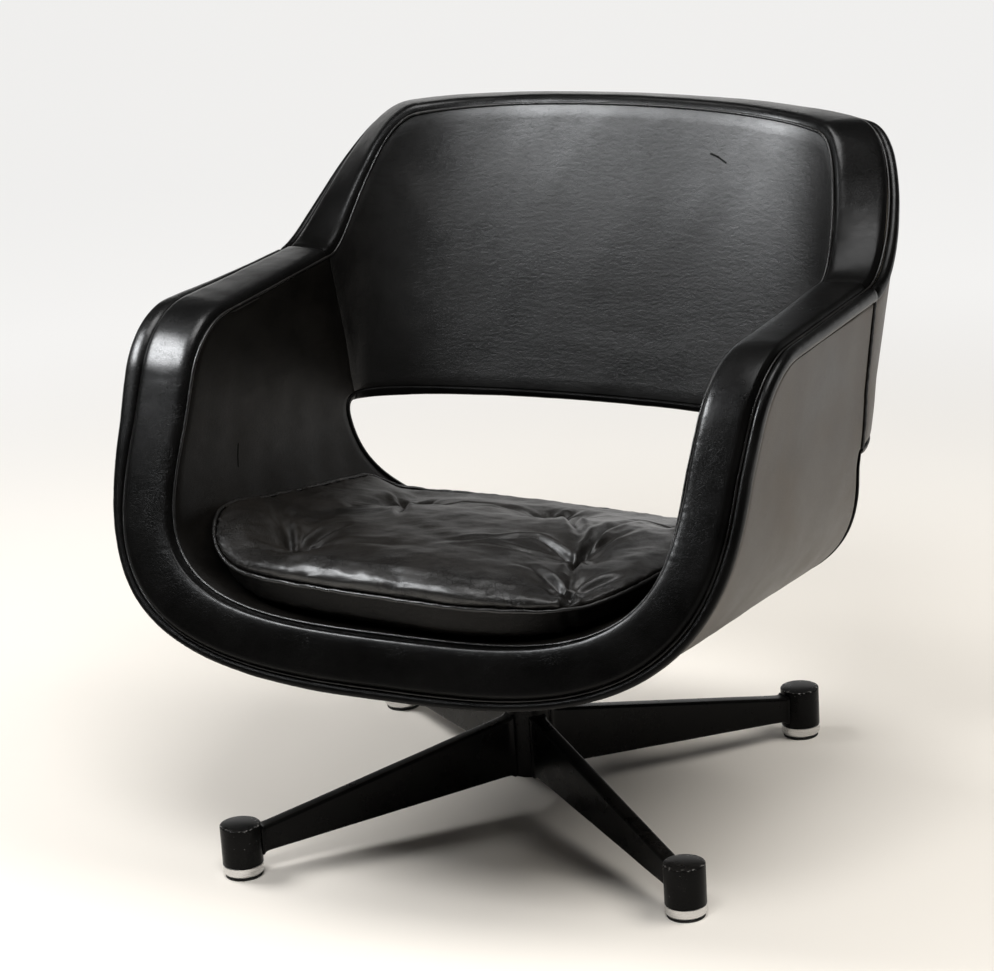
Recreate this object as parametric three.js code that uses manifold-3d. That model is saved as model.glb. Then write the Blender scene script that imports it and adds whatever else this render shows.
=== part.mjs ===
// Pedestal swivel armchair: an upholstered bucket seat on a four-legged steel pedestal.
// Millimetres, +Z up, front towards -Y. The seat turns about the upright axis x = y = 0
// while the piece is built; at the end the whole chair is moved so that the middle of
// its footprint, on the floor, is the origin.
import * as THREE from 'three';
import Module from 'manifold-3d';
import { mergeVertices } from 'three/addons/utils/BufferGeometryUtils.js';

const wasm = await Module();
wasm.setup();

// Clearances and shared sizes
const touch_gap = 0.3;
const sliding_gap = 0.4;
const cut_overrun = 40;
const weld_tolerance = 1e-4;

// Pedestal
const leg_count = 4;
const base_turn = 8.25;
const foot_radius = 340;
const hub_diameter = 48;
const hub_bore = 34;
const hub_bottom = 38;
const leg_width = 17;
const leg_edge_radius = 4;
const leg_root_top = 106;
const leg_root_bottom = 39;
const leg_tip_bottom = 21.6;

// Feet
const post_diameter = 43;
const post_top = 57;
const leg_tip_drop = 7;
const leg_tip_top = post_top - leg_tip_drop;
const post_edge = 1.2;
const pad_thickness = 2.5;
const pad_inset = 2;
const glide_height = 11;
const glide_chamfer = 2.5;
const stem_diameter = 10;
const stem_length = 22;

// Swivel bearing
const bearing_room = 37.3;
const spindle_diameter = 25;
const bush_flange = 3;
const bush_flange_diameter = 44;
const bush_length = 28;
const thrust_washer_thickness = 2;
const spindle_collar_diameter = 52;
const spindle_collar_height = 8;
const spindle_neck_diameter = 38;
const clip_thickness = 1.6;
const clip_diameter = 31;
const clip_groove_diameter = 21;
const clip_recess = 20;
const spindle_tail = 6;
const end_cap_thickness = 2;

// Seat fixing plate, tilted with the seat floor
const plate_size = 190;
const plate_thickness = 6;
const plate_corner_radius = 22;
const bolt_spread = 66;
const bolt_diameter = 8;
const bolt_head_diameter = 15;
const bolt_head_height = 5;
const bolt_reach = 24;
const tee_nut_diameter = 24;
const tee_nut_barrel = 12;
const tee_nut_height = 8;
const tee_nut_level = 13.4;
const tee_nut_flange = 2;

// Seat bucket: a U-shaped trough, open at the front and back, drawn out along Y
const inner_half_width = 284;
const wall_thickness = 67;
const outer_half_width = inner_half_width + wall_thickness;
const outer_floor_height = 237;
const floor_thickness = 61.5;
const inner_floor_height = outer_floor_height + floor_thickness;
const arm_height = 561;
const bend_drop = 102;
const bend_height = arm_height - bend_drop;
const inner_bend_power = 3.4;
const outer_bend_power = 2.83;
const inner_flare = 6;
const outer_flare = 6;
const floor_drop_slope = 0.1;

// Side view of the bucket: front edge, armrest and arm end
const front_reach = 317;
const lean_start_height = 243;
const lean_angle = 29.6;
const lean_blend_radius = 260;
const arm_corner_radius = 110;
const arm_rise = 2;
const arm_back = 142.5;
const inner_edge_setback = 4.5;
const setback_fade = 200;
const floor_back = 215;
const gap_corner = 12;
const gap_front_inner = 148;
const gap_front_outer = 113;
const gap_curve_inner_power = 2.3;
const gap_curve_outer_power = 1.15;
const inner_joint_lean = 0.12;
const outer_joint_lean = -0.185;

// Backrest band, bent round from arm to arm
const back_low_drop = 72;
const back_low_height = bend_height - back_low_drop;
const back_low_lift = 5;
const back_low_depth = 226.5;
const back_recline = 0.264;
const back_thickness = 74;
const back_low_power = 2;
const back_inner_power = 3.46;
const back_outer_power = 2.78;
const shoulder_rise = 129.5;
const back_shoulder_height = arm_height + shoulder_rise;
const back_shoulder_share = 0.41;
const crown_start_share = 0.246;
const back_crown = 21;
const back_outer_drop = 11;

// Layers of the upholstery
const cover_thickness = 3;
const shell_thickness = 9;
const rim_depth = 13;
const rim_seat_gap = 0.8;
const foam_gap = 1.2;
const rim_crown = 5;
const rim_corner = 11;
const rim_shoulder = 3.5;
const band_crown_share = 0.35;
const border_roll = 2;
const border_corner = 3.5;
const border_proud = 1.6;
const edge_depth = 9;
const edge_crown = 3.5;
const edge_corner = 5;
const edge_joint_gap = 2.5;
const welt_diameter = 3.2;
const outer_seam_inset = 10;
const inner_seam_depth = 4;
const side_seam_sink = 0.6;
const side_seam_slant = 1;
const shell_joint_gap = 1;
const foam_joint_gap = 3;

// Glass-fibre strips over the joints between the bucket shell and the back shell
const strip_length = 80;
const strip_gap = 1;
const strip_width_share = 0.25;
const strip_width = strip_width_share * (arm_height - back_low_height);
const strip_thickness = 3;
const strip_height = (arm_height + back_low_height) / 2;

// Loose seat cushion
const cushion_side_room = 36;
const cushion_front_room = 36;
const cushion_rear_room = 70;
const cushion_half_width = inner_half_width - cushion_side_room;
const cushion_front = front_reach - cushion_front_room;
const cushion_back = floor_back - cushion_rear_room;
const cushion_round_start = -70;
const cushion_rear_start = 70;
const cushion_front_power = 3.4;
const cushion_rear_power = 3.6;
const cushion_turn = -4.5;
const cushion_shift = -13;
const cushion_welt_rise = 34.9;
const cushion_welt_height = inner_floor_height + cushion_welt_rise;
const cushion_boxing = 26;
const cushion_crown = 30;
const rear_crown_share = 0.25;
const side_crown_loss_share = 0.7;
const crown_fall_start = -60;
const cushion_side_height = 24;
const cushion_floor_gap = 3;
const cushion_side_gap = 8;
const height_blend = 6;
const lift_power = 3;
const swell_x_share = 0.02;
const swell_y_share = 0.02;
const cushion_welt_diameter = 4.2;
const cushion_welt_gap = 1.6;
const boxing_draw_in = 5;
const tuft_depth = 17;
const tuft_radius = 27;
const left_front_tuft_x = -150;
const left_front_tuft_y = -203;
const right_front_tuft_x = 168;
const right_front_tuft_y = -222;
const right_middle_tuft_x = 132;
const right_middle_tuft_y = -128;
const left_rear_tuft_x = -140;
const left_rear_tuft_y = 25;
const middle_rear_tuft_x = 22;
const middle_rear_tuft_y = 40;
const right_rear_tuft_x = 178;
const right_rear_tuft_y = 52;

// Steps of the faceted curves
const fine_steps = 240;
const settle_steps = 6;
const slope_step = 0.02;
const floor_steps = 8;
const arm_corner_steps = 6;
const arm_top_steps = 3;
const back_steps = 26;
const back_rows = 3;
const side_seam_steps = 4;
const welt_sides = 6;
const round_steps = 24;
const plain_steps = 20;
const post_steps = 24;
const small_steps = 10;
const plate_corner_steps = 4;
const leg_edge_steps = 2;
const hex_sides = 6;
const cushion_steps = 44;

const deg = Math.PI / 180;
const lerp = THREE.MathUtils.lerp;
const clamp01 = (v) => THREE.MathUtils.clamp(v, 0, 1);
const share_list = (n) => Array.from({ length: n + 1 }, (_, i) => i / n);

// Finishes
const finish = (color, roughness, metalness) => () =>
  new THREE.MeshStandardMaterial({ color, roughness, metalness });
const black_leather = finish(0x1c1b1a, 0.42, 0);
const black_welt = finish(0x262422, 0.4, 0);
const grey_foam = finish(0xb9ac86, 0.95, 0);
const moulded_shell = finish(0x6b6459, 0.7, 0);
const black_paint = finish(0x101010, 0.35, 0.2);
const bright_steel = finish(0xb4b0a8, 0.3, 1);
const zinc_steel = finish(0x8f9296, 0.45, 1);
const bearing_plastic = finish(0xd8d4c6, 0.5, 0);
const dark_pad = finish(0x1a1a18, 0.85, 0);

// Closed solids from rings of points
function geometry_of(positions, triangles) {
  const geometry = new THREE.BufferGeometry();
  const coords = positions.flatMap((p) => [p.x, p.y, p.z]);
  let volume = 0;
  for (const [a, b, c] of triangles) {
    volume += positions[a].dot(new THREE.Vector3().crossVectors(positions[b], positions[c]));
  }
  const outward = volume > 0 ? triangles : triangles.map(([a, b, c]) => [a, c, b]);
  geometry.setAttribute('position', new THREE.Float32BufferAttribute(coords, 3));
  geometry.setIndex(outward.flat());
  geometry.computeVertexNormals();
  return geometry;
}

// Flat end of a lofted or swept solid, its faces turned with or against the ring.
function end_faces(ring, with_ring) {
  const faces = THREE.ShapeUtils.triangulateShape(ring, []);
  const area_of = ([a, b, c]) => THREE.ShapeUtils.area([ring[a], ring[b], ring[c]]);
  const natural = Math.sign(faces.reduce((sum, face) => sum + area_of(face), 0));
  const wanted = Math.sign(THREE.ShapeUtils.area(ring)) * (with_ring ? 1 : -1);
  return natural === wanted ? faces : faces.map(([a, b, c]) => [a, c, b]);
}

function skin(rings, closed, first_ring, last_ring) {
  const n = rings[0].length;
  const triangles = [];
  const spans = closed ? rings.length : rings.length - 1;
  for (let r = 0; r < spans; r += 1) {
    const here = r * n;
    const next = ((r + 1) % rings.length) * n;
    for (let i = 0; i < n; i += 1) {
      const j = (i + 1) % n;
      triangles.push([here + i, here + j, next + j], [here + i, next + j, next + i]);
    }
  }
  if (!closed) {
    const last = (rings.length - 1) * n;
    triangles.push(...end_faces(first_ring, false));
    triangles.push(...end_faces(last_ring, true).map((face) => face.map((v) => v + last)));
  }
  return geometry_of(rings.flat(), triangles);
}

const loft = (rings, flatten) =>
  skin(rings, false, rings[0].map(flatten), rings.at(-1).map(flatten));
const seen_along_x = (p) => new THREE.Vector2(p.y, p.z);
const seen_along_z = (p) => new THREE.Vector2(p.x, p.y);

// An edge is a run of stations. Each holds the inner and the outer corner of the edge and
// the steps from them into the wall for one unit of depth.
const drop_between = (corner, deep, depth) => deep.clone().sub(corner).divideScalar(depth);

// A section carried along an edge. Its points are [share, offset, depth]: share of the way
// from the inner to the outer corner, offset added to that, and depth into the wall.
function sweep(stations, section) {
  const rings = stations.map(({ inner, outer, inner_drop, outer_drop }) => {
    const across = outer.clone().sub(inner).normalize();
    return section.map(([share, offset, depth]) => inner.clone().lerp(outer, share)
      .addScaledVector(across, offset)
      .addScaledVector(inner_drop.clone().lerp(outer_drop, share), depth));
  });
  const flat = ({ inner, outer }) => section.map(([share, offset, depth]) =>
    new THREE.Vector2(share * inner.distanceTo(outer) + offset, depth));
  return skin(rings, false, flat(stations[0]), flat(stations.at(-1)));
}

const round_section = (share, offset, depth, radius) =>
  share_list(welt_sides).slice(1).map((s) => {
    const turn = (s * 360 + 180 / welt_sides) * deg;
    return [share, offset + radius * Math.cos(turn), depth + radius * Math.sin(turn)];
  });

// Block between two curved faces: point(u, v, w) with u and v along the faces, w across.
function block(us, vs, point) {
  const nu = us.length;
  const nv = vs.length;
  const at = (i, j, k) => (k * nv + j) * nu + i;
  const positions = [];
  for (const w of [0, 1]) {
    for (const v of vs) for (const u of us) positions.push(point(u, v, w));
  }
  const triangles = [];
  const quad = (a, b, c, d) => triangles.push([a, b, c], [a, c, d]);
  for (let j = 0; j + 1 < nv; j += 1) {
    for (let i = 0; i + 1 < nu; i += 1) {
      quad(at(i, j, 0), at(i + 1, j, 0), at(i + 1, j + 1, 0), at(i, j + 1, 0));
      quad(at(i, j, 1), at(i, j + 1, 1), at(i + 1, j + 1, 1), at(i + 1, j, 1));
    }
  }
  for (let i = 0; i + 1 < nu; i += 1) {
    quad(at(i, 0, 0), at(i, 0, 1), at(i + 1, 0, 1), at(i + 1, 0, 0));
    quad(at(i, nv - 1, 0), at(i + 1, nv - 1, 0), at(i + 1, nv - 1, 1), at(i, nv - 1, 1));
  }
  for (let j = 0; j + 1 < nv; j += 1) {
    quad(at(0, j, 0), at(0, j + 1, 0), at(0, j + 1, 1), at(0, j, 1));
    quad(at(nu - 1, j, 0), at(nu - 1, j, 1), at(nu - 1, j + 1, 1), at(nu - 1, j + 1, 0));
  }
  return geometry_of(positions, triangles);
}

// Joining and cutting
function solid_of(geometry) {
  const bare = geometry.clone();
  for (const name of Object.keys(bare.attributes)) {
    if (name !== 'position') bare.deleteAttribute(name);
  }
  const merged = mergeVertices(bare, weld_tolerance);
  return new wasm.Manifold(new wasm.Mesh({
    numProp: 3,
    vertProperties: new Float32Array(merged.attributes.position.array),
    triVerts: new Uint32Array(merged.index.array),
  }));
}

function geometry_from(solid) {
  const mesh = solid.getMesh();
  const geometry = new THREE.BufferGeometry();
  const coords = new Float32Array(mesh.vertProperties);
  geometry.setAttribute('position', new THREE.BufferAttribute(coords, 3));
  geometry.setIndex(new THREE.BufferAttribute(new Uint32Array(mesh.triVerts), 1));
  geometry.computeVertexNormals();
  return geometry;
}

const cut = (geometry, tools) => geometry_from(
  tools.reduce((solid, tool) => solid.subtract(solid_of(tool)), solid_of(geometry)));

function cylinder(diameter, bottom, top, steps = round_steps) {
  const geometry = new THREE.CylinderGeometry(diameter / 2, diameter / 2, top - bottom, steps);
  return geometry.rotateX(90 * deg).translate(0, 0, (top + bottom) / 2);
}

function turned(profile, steps = round_steps) {
  const points = profile.map(([r, z]) => new THREE.Vector2(r, z));
  return new THREE.LatheGeometry(points, steps).rotateX(90 * deg);
}

// Place at a share of the length of a run of points
function along(points) {
  const lengths = [0];
  points.slice(1).forEach((p, i) => lengths.push(lengths.at(-1) + p.distanceTo(points[i])));
  return (share) => {
    const target = clamp01(share) * lengths.at(-1);
    const i = Math.max(1, lengths.findIndex((length) => length >= target));
    const part = (target - lengths[i - 1]) / (lengths[i] - lengths[i - 1]);
    return points[i - 1].clone().lerp(points[i], part);
  };
}

// Bucket section. The inner face is share 0 of the wall, the outer face share 1. A fall is
// a share of the drop from the bend height to the floor.
const bend_of = [
  { half: inner_half_width, floor: inner_floor_height, power: inner_bend_power, flare: inner_flare },
  { half: outer_half_width, floor: outer_floor_height, power: outer_bend_power, flare: outer_flare },
];
const floor_drop = (y) => floor_drop_slope * (y + front_reach);
const fall_height = (face, y) => bend_height - bend_of[face].floor + floor_drop(y);

function bend_x(face, fall) {
  const { half, power } = bend_of[face];
  return half * (1 - clamp01(fall) ** power) ** (1 / power);
}

function face_x(face, z, y) {
  const { half, flare } = bend_of[face];
  if (z >= bend_height) return half + flare * (z - bend_height) / (arm_height - bend_height);
  return bend_x(face, (bend_height - z) / fall_height(face, y));
}

const floor_z = (x, y) => {
  const { half, power } = bend_of[0];
  return bend_height - fall_height(0, y) * (1 - clamp01(Math.abs(x) / half) ** power) ** (1 / power);
};

// Side view of the front edge: it rises, leans back, turns over the arm end and runs
// along the arm. An inset moves the edge into the wall.
const lean = lean_angle * deg;
const blend = {
  y: lean_blend_radius - front_reach,
  z: lean_start_height - lean_blend_radius * Math.tan(lean / 2),
};
const arm_centre = {
  y: -front_reach + (arm_height - lean_start_height) * Math.tan(lean)
    + arm_corner_radius * Math.tan((90 * deg - lean) / 2),
  z: arm_height - arm_corner_radius,
};

function front_edge(z, inset) {
  const radius = lean_blend_radius - inset;
  const rise = z - blend.z;
  if (rise <= 0) return blend.y - radius;
  const arc_rise = radius * Math.sin(lean);
  if (rise < arc_rise) return blend.y - Math.sqrt(radius ** 2 - rise ** 2);
  return blend.y - radius * Math.cos(lean) + (rise - arc_rise) * Math.tan(lean);
}

// The inner corner of the edge stands back from the outer one, less and less along the arm
const setback = (face, y = -front_reach) =>
  face === 1 ? 0 : inner_edge_setback * clamp01((arm_back - y) / setback_fade);

// Line down the wall where the bucket and the backrest meet
const joint_y = (face, z) =>
  arm_back + (arm_height - z) * (face === 0 ? inner_joint_lean : outer_joint_lean);

// Edge of the open gap behind the seat: from the joint down and back to the floor's end
const low_height = (face) => back_low_height + face * back_low_lift;
const gap_top = (face) => low_height(face) - gap_corner;
const gap_end = (face) => bend_of[face].floor - floor_drop(floor_back);
const gap_front = [gap_front_inner, gap_front_outer];
const gap_power = [gap_curve_inner_power, gap_curve_outer_power];
function gap_edge(face, z, inset) {
  const fall = clamp01((gap_top(face) - z) / (gap_top(face) - gap_end(face)));
  return lerp(gap_front[face], floor_back, fall ** gap_power[face]) - inset;
}

// Rows across the bucket, from the middle of the floor up the side to the arm. Rows on the
// bend have a fall for each face, rows on the arm end a turn round its corner.
const corner_fall = (face, z) => (bend_height - z) / fall_height(face, gap_front[face]);
const even_falls = (face, last) => {
  const { half, floor, power } = bend_of[face];
  const height = bend_height - floor;
  const end = Math.acos(last ** (power / 2));
  const place = along(share_list(fine_steps).map((s) => new THREE.Vector2(
    half * Math.sin(s * end) ** (2 / power), height * Math.cos(s * end) ** (2 / power))));
  return share_list(floor_steps).map((s) => place(s).y / height);
};
const floor_falls = [0, 1].map((face) => even_falls(face, corner_fall(face, gap_top(face))));
const low_falls = [0, 1].map((face) => corner_fall(face, low_height(face)));
const bend_rows = [
  ...floor_falls[0].map((_, i) => ({ falls: floor_falls.map((list) => list[i]), gap: true })),
  { falls: low_falls, low: true },
  { falls: low_falls.map((fall) => fall / 2) },
  { falls: [0, 0] },
];
const arm_rows = share_list(arm_corner_steps).map((s) => ({ turn: lerp(lean, 90 * deg, s) }));
const rows = [...bend_rows, ...arm_rows];

// Where y and the height at y hold together
function settle(start, height_at, edge_at) {
  let y = start;
  for (let i = 0; i < settle_steps; i += 1) y = edge_at(height_at(y));
  return y;
}

function front_corner(face, row, inset) {
  const deep = inset + setback(face);
  if (row.falls) {
    const fall = row.falls[face];
    const height_at = (y) => bend_height - fall * fall_height(face, y);
    const y = settle(-front_reach, height_at, (z) => front_edge(z, deep));
    return new THREE.Vector3(bend_x(face, fall), y, height_at(y));
  }
  const radius = arm_corner_radius - deep;
  const z = arm_centre.z + radius * Math.sin(row.turn);
  const y = arm_centre.y - radius * Math.cos(row.turn);
  return new THREE.Vector3(face_x(face, z, y), y, z);
}

function rear_corner(face, row, insets) {
  if (row.falls) {
    const fall = row.falls[face];
    const height_at = (y) => bend_height - fall * fall_height(face, y);
    if (row.gap) {
      const y = settle(gap_front[face], height_at, (z) => gap_edge(face, z, insets.gap));
      return new THREE.Vector3(bend_x(face, fall), y, height_at(y));
    }
    if (row.low) {
      const z = low_height(face) + insets.gap;
      const y = joint_y(face, z) - insets.joint;
      return new THREE.Vector3(face_x(face, z, y), y, z);
    }
    const y = settle(gap_front[face], height_at, (z) => joint_y(face, z) - insets.joint);
    return new THREE.Vector3(bend_x(face, fall), y, height_at(y));
  }
  const top = front_corner(face, rows.at(-1), insets.front).z;
  const share = (front_corner(face, row, insets.front).z - bend_height) / (top - bend_height);
  const z = lerp(bend_height, arm_height + arm_rise - insets.front, share);
  const y = joint_y(face, z) - insets.joint;
  return new THREE.Vector3(face_x(face, z, y), y, z);
}

const mirrored = (p) => new THREE.Vector3(-p.x, p.y, p.z);
const mirrored_station = (station) =>
  Object.fromEntries(Object.entries(station).map(([name, p]) => [name, mirrored(p)]));
const across_floor = (half, flip) => [...half.slice(1).reverse().map(flip), ...half];

// Layer of the bucket between two shares of the wall
const last_row = rows.length - 1;
const row_numbers = share_list(2 * last_row).map((s) => Math.round((2 * s - 1) * last_row));
function bucket_layer([from, to], insets) {
  return block([0, 1], row_numbers, (u, v, w) => {
    const row = rows[Math.abs(v)];
    const faces = [0, 1].map((face) => (u === 0
      ? front_corner(face, row, insets.front)
      : rear_corner(face, row, insets)));
    const p = faces[0].lerp(faces[1], lerp(from, to, w));
    return v < 0 ? mirrored(p) : p;
  });
}

// Backrest band. At each height its plan is a flat-sided curve from the arm to the middle.
function back_power(face, z) {
  const share = clamp01((z - back_low_height) / (back_shoulder_height - back_low_height));
  return lerp(back_low_power, face === 0 ? back_inner_power : back_outer_power, share);
}

function back_plan(face, z) {
  const half = face_x(face, z, arm_back);
  const start = joint_y(face, z);
  const middle = back_low_depth + back_recline * (z - back_low_height) + face * back_thickness;
  const power = 2 / back_power(face, z);
  return along(share_list(fine_steps).map((s) => new THREE.Vector2(
    half * Math.max(Math.cos(s * 90 * deg), 0) ** power,
    start + (middle - start) * Math.sin(s * 90 * deg) ** power)));
}

// Point of one face of the band: u runs from -1 at the left arm to 0 in the middle to 1.
// A joint gap moves only the ends, along the first flat of the band.
const first_step_share = 2 / back_steps;
function back_point(face, u, z, joint_gap) {
  const plan = back_plan(face, z);
  const reach = 1 - Math.abs(u);
  const place = plan(reach);
  const first = plan(first_step_share);
  if (reach === 0) place.lerp(first, joint_gap / place.distanceTo(first));
  return new THREE.Vector3(Math.sign(u) * place.x, place.y, z);
}

const smooth = (s) => s * s * (3 - 2 * s);
function back_top(face, u) {
  const reach = 1 - Math.abs(u);
  const shoulder_start = arm_height + arm_rise;
  const swell = clamp01((reach - crown_start_share) / (1 - crown_start_share));
  return shoulder_start
    + (back_shoulder_height - shoulder_start) * smooth(clamp01(reach / back_shoulder_share))
    + (back_crown - back_outer_drop * face) * (1 - (1 - swell) ** 2);
}

// Depth down from the top edge that makes a given depth square to it
function square_depth(u, depth) {
  const near = [u - slope_step, u + slope_step].map((v) => {
    const clipped = THREE.MathUtils.clamp(v, -1, 1);
    return back_point(1, clipped, back_top(1, clipped), 0);
  });
  const level = Math.hypot(near[1].x - near[0].x, near[1].y - near[0].y);
  return depth * near[1].distanceTo(near[0]) / level;
}

const back_us = share_list(back_steps).map((s) => 2 * s - 1);

// Layer of the backrest between two shares of its thickness
function back_layer([from, to], insets) {
  return block(back_us, share_list(back_rows), (u, v, w) => {
    const faces = [0, 1].map((face) => {
      const low = low_height(face) + insets.gap;
      const top = back_top(face, u) - square_depth(u, insets.front);
      return back_point(face, u, lerp(low, top, v), insets.joint);
    });
    return faces[0].lerp(faces[1], lerp(from, to, w));
  });
}

// Shares of the wall taken by each layer, with a touch gap between them
const share_of = (depth) => depth / wall_thickness;
const cover_share = share_of(cover_thickness);
const gap_share = share_of(touch_gap);
const foam_gap_share = share_of(foam_gap);
const shell_share = share_of(shell_thickness);
const layers = {
  inner_cover: [0, cover_share],
  foam: [cover_share + foam_gap_share, 1 - cover_share - shell_share - gap_share - foam_gap_share],
  shell: [1 - cover_share - shell_share - gap_share, 1 - cover_share - gap_share],
  outer_cover: [1 - cover_share, 1],
};
const rim_room = rim_depth + rim_seat_gap;
const edge_room = edge_depth + rim_seat_gap;
const welt_radius = welt_diameter / 2;
const welt_room = welt_radius + touch_gap;
const with_joint = (joint) => ({ front: rim_room, gap: edge_room, joint });

// Edges of the upholstery
const edge_station = (corners, deeps, depth) => ({
  inner: corners[0],
  outer: corners[1],
  inner_drop: drop_between(corners[0], deeps[0], depth),
  outer_drop: drop_between(corners[1], deeps[1], depth),
});

const front_half = rows.map((row) => edge_station(
  [0, 1].map((face) => front_corner(face, row, 0)),
  [0, 1].map((face) => front_corner(face, row, rim_room)), rim_room));
const arm_half = share_list(arm_top_steps).slice(1).map((s) => {
  const corner = (inset) => [0, 1].map((face) => {
    const end = arm_height + arm_rise - inset;
    const y = lerp(arm_centre.y, joint_y(face, end) - touch_gap, s);
    const z = arm_height + arm_rise * s - inset - setback(face, y);
    return new THREE.Vector3(face_x(face, z, y), y, z);
  });
  return edge_station(corner(0), corner(rim_room), rim_room);
});
const front_edge_run = across_floor([...front_half, ...arm_half], mirrored_station);

const back_edge_run = back_us.map((u) => {
  const corner = (inset) => [0, 1].map((face) =>
    back_point(face, u, back_top(face, u) - square_depth(u, inset), touch_gap));
  return edge_station(corner(0), corner(rim_room), rim_room);
});

const edge_joint = (inset) => lerp(edge_joint_gap, touch_gap, inset / edge_room);
const gap_rows = rows.filter((row) => row.gap || row.low);
const gap_edge_run = across_floor(gap_rows.map((row) => {
  const corner = (inset) => [0, 1].map((face) =>
    rear_corner(face, row, { gap: inset, joint: edge_joint(inset) }));
  return edge_station(corner(0), corner(edge_room), edge_room);
}), mirrored_station);

const low_edge_run = back_us.map((u) => {
  const corner = (inset) => [0, 1].map((face) =>
    back_point(face, u, low_height(face) + inset, edge_joint(inset)));
  return edge_station(corner(0), corner(edge_room), edge_room);
});

// Sections of the rim: a padded band, a narrow border round the outer corner, and the
// welts sewn in along both seams
const inner_notch = inner_seam_depth + welt_room;
const band_end = -(outer_seam_inset + welt_room);
const border_start = -(outer_seam_inset - welt_room);
const band_section = [
  [1, band_end, rim_depth],
  [1, band_end, -touch_gap],
  [1, band_end - rim_shoulder, -rim_shoulder],
  [1 - band_crown_share, 0, -rim_crown],
  [band_crown_share, 0, -rim_crown],
  [0, rim_corner, -rim_shoulder],
  [0, inner_notch, 0],
  [0, inner_notch - welt_radius, welt_room],
  [0, 0, inner_notch],
  [0, 0, rim_depth],
  [layers.foam[0], 0, rim_depth],
];
const border_section = [
  [1, 0, rim_depth],
  [1, border_proud, rim_depth - border_roll],
  [1, 0, border_corner],
  [1, -border_roll, -touch_gap],
  [1, border_start + border_roll, -border_roll],
  [1, border_start, 0],
  [1, border_start, rim_depth],
];
const edge_section = [
  [1, 0, edge_depth],
  [1, 0, edge_corner],
  [1, -edge_corner, -edge_crown / 2],
  [0.5, 0, -edge_crown],
  [0, edge_corner, -edge_crown / 2],
  [0, 0, edge_corner],
  [0, 0, edge_depth],
  [layers.foam[0], 0, edge_depth],
  [layers.foam[1], 0, edge_depth],
];
const inner_welt_depth = inner_seam_depth - welt_radius;
const inner_welt_section = round_section(0, touch_gap, inner_welt_depth, welt_radius);
const outer_welt_section = round_section(1, -outer_seam_inset, 0, welt_radius);

// Glass-fibre strip across the joint of the two shells, inside the wall
const strip_outside = layers.foam[1] - share_of(strip_gap);
const strip_shares = [strip_outside - share_of(strip_thickness), strip_outside];
function joint_strip(side, clearance) {
  const reach = first_step_share + clearance / strip_length;
  return block([-1, 0, 1], [0, 1], (u, v, w) => {
    const z = strip_height + (v - 0.5) * (strip_width + 2 * clearance);
    const side_clearance = share_of(clearance);
    const share = lerp(strip_shares[0] - side_clearance, strip_shares[1] + side_clearance, w);
    const faces = [0, 1].map((face) => (u > 0
      ? back_point(face, side * (1 - u * reach), z, 0)
      : new THREE.Vector3(side * face_x(face, z, arm_back),
        joint_y(face, z) + u * (strip_length / 2 + clearance), z)));
    return faces[0].lerp(faces[1], share);
  });
}
const strip_rooms = [-1, 1].map((side) => joint_strip(side, touch_gap));

// Piped seam down the outer face at each joint
function side_seam_welt(side) {
  const low = low_height(1) + edge_room + touch_gap;
  const high = arm_height + arm_rise - rim_room - touch_gap;
  const rings = share_list(side_seam_steps).map((s) => {
    const z = lerp(low, high, s);
    const centre = new THREE.Vector3(face_x(1, z, arm_back) - side_seam_sink, joint_y(1, z), z);
    return share_list(welt_sides).slice(1).map((part) => {
      const turn = part * 360 * deg;
      return new THREE.Vector3(side * (centre.x + welt_radius * Math.cos(turn)),
        centre.y + welt_radius * Math.sin(turn), z);
    });
  });
  return loft(rings, seen_along_z);
}

// Seat fixing, square to the sloping underside of the seat
const seat_tilt = -Math.atan(floor_drop_slope);
const seat_underside = outer_floor_height - floor_drop(0);
const tilted = (geometry) => geometry.rotateX(seat_tilt).translate(0, 0, seat_underside);
const plate_top = -touch_gap;
const plate_bottom = plate_top - plate_thickness;
const bolt_places = [[-1, -1], [1, -1], [1, 1], [-1, 1]].map(([x, y]) =>
  [x * bolt_spread, y * bolt_spread]);
const at_bolts = (make) => bolt_places.map(([x, y]) => tilted(make().translate(x, y, 0)));
const bolt_hole = bolt_diameter + 2 * sliding_gap;
const bolt_passages = at_bolts(() =>
  cylinder(bolt_hole, plate_bottom - cut_overrun, bolt_reach, small_steps));
const tee_nut_bottom = tee_nut_level - tee_nut_height;
const tee_nut_top = tee_nut_level + tee_nut_flange;
const barrel_rooms = at_bolts(() =>
  cylinder(tee_nut_barrel + 2 * touch_gap, tee_nut_bottom - touch_gap, tee_nut_top, small_steps));
const nut_rooms = at_bolts(() =>
  cylinder(tee_nut_diameter + 2 * touch_gap, tee_nut_bottom, bolt_reach + touch_gap, small_steps));

function seat_plate() {
  const half = plate_size / 2;
  const shape = new THREE.Shape();
  const turn_in = half - plate_corner_radius;
  shape.absarc(turn_in, turn_in, plate_corner_radius, 0, 90 * deg);
  shape.absarc(-turn_in, turn_in, plate_corner_radius, 90 * deg, 180 * deg);
  shape.absarc(-turn_in, -turn_in, plate_corner_radius, 180 * deg, 270 * deg);
  shape.absarc(turn_in, -turn_in, plate_corner_radius, 270 * deg, 360 * deg);
  const plate = new THREE.ExtrudeGeometry(shape, {
    depth: plate_thickness, bevelEnabled: false, curveSegments: plate_corner_steps,
  });
  return cut(tilted(plate.translate(0, 0, plate_bottom)), bolt_passages);
}

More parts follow.
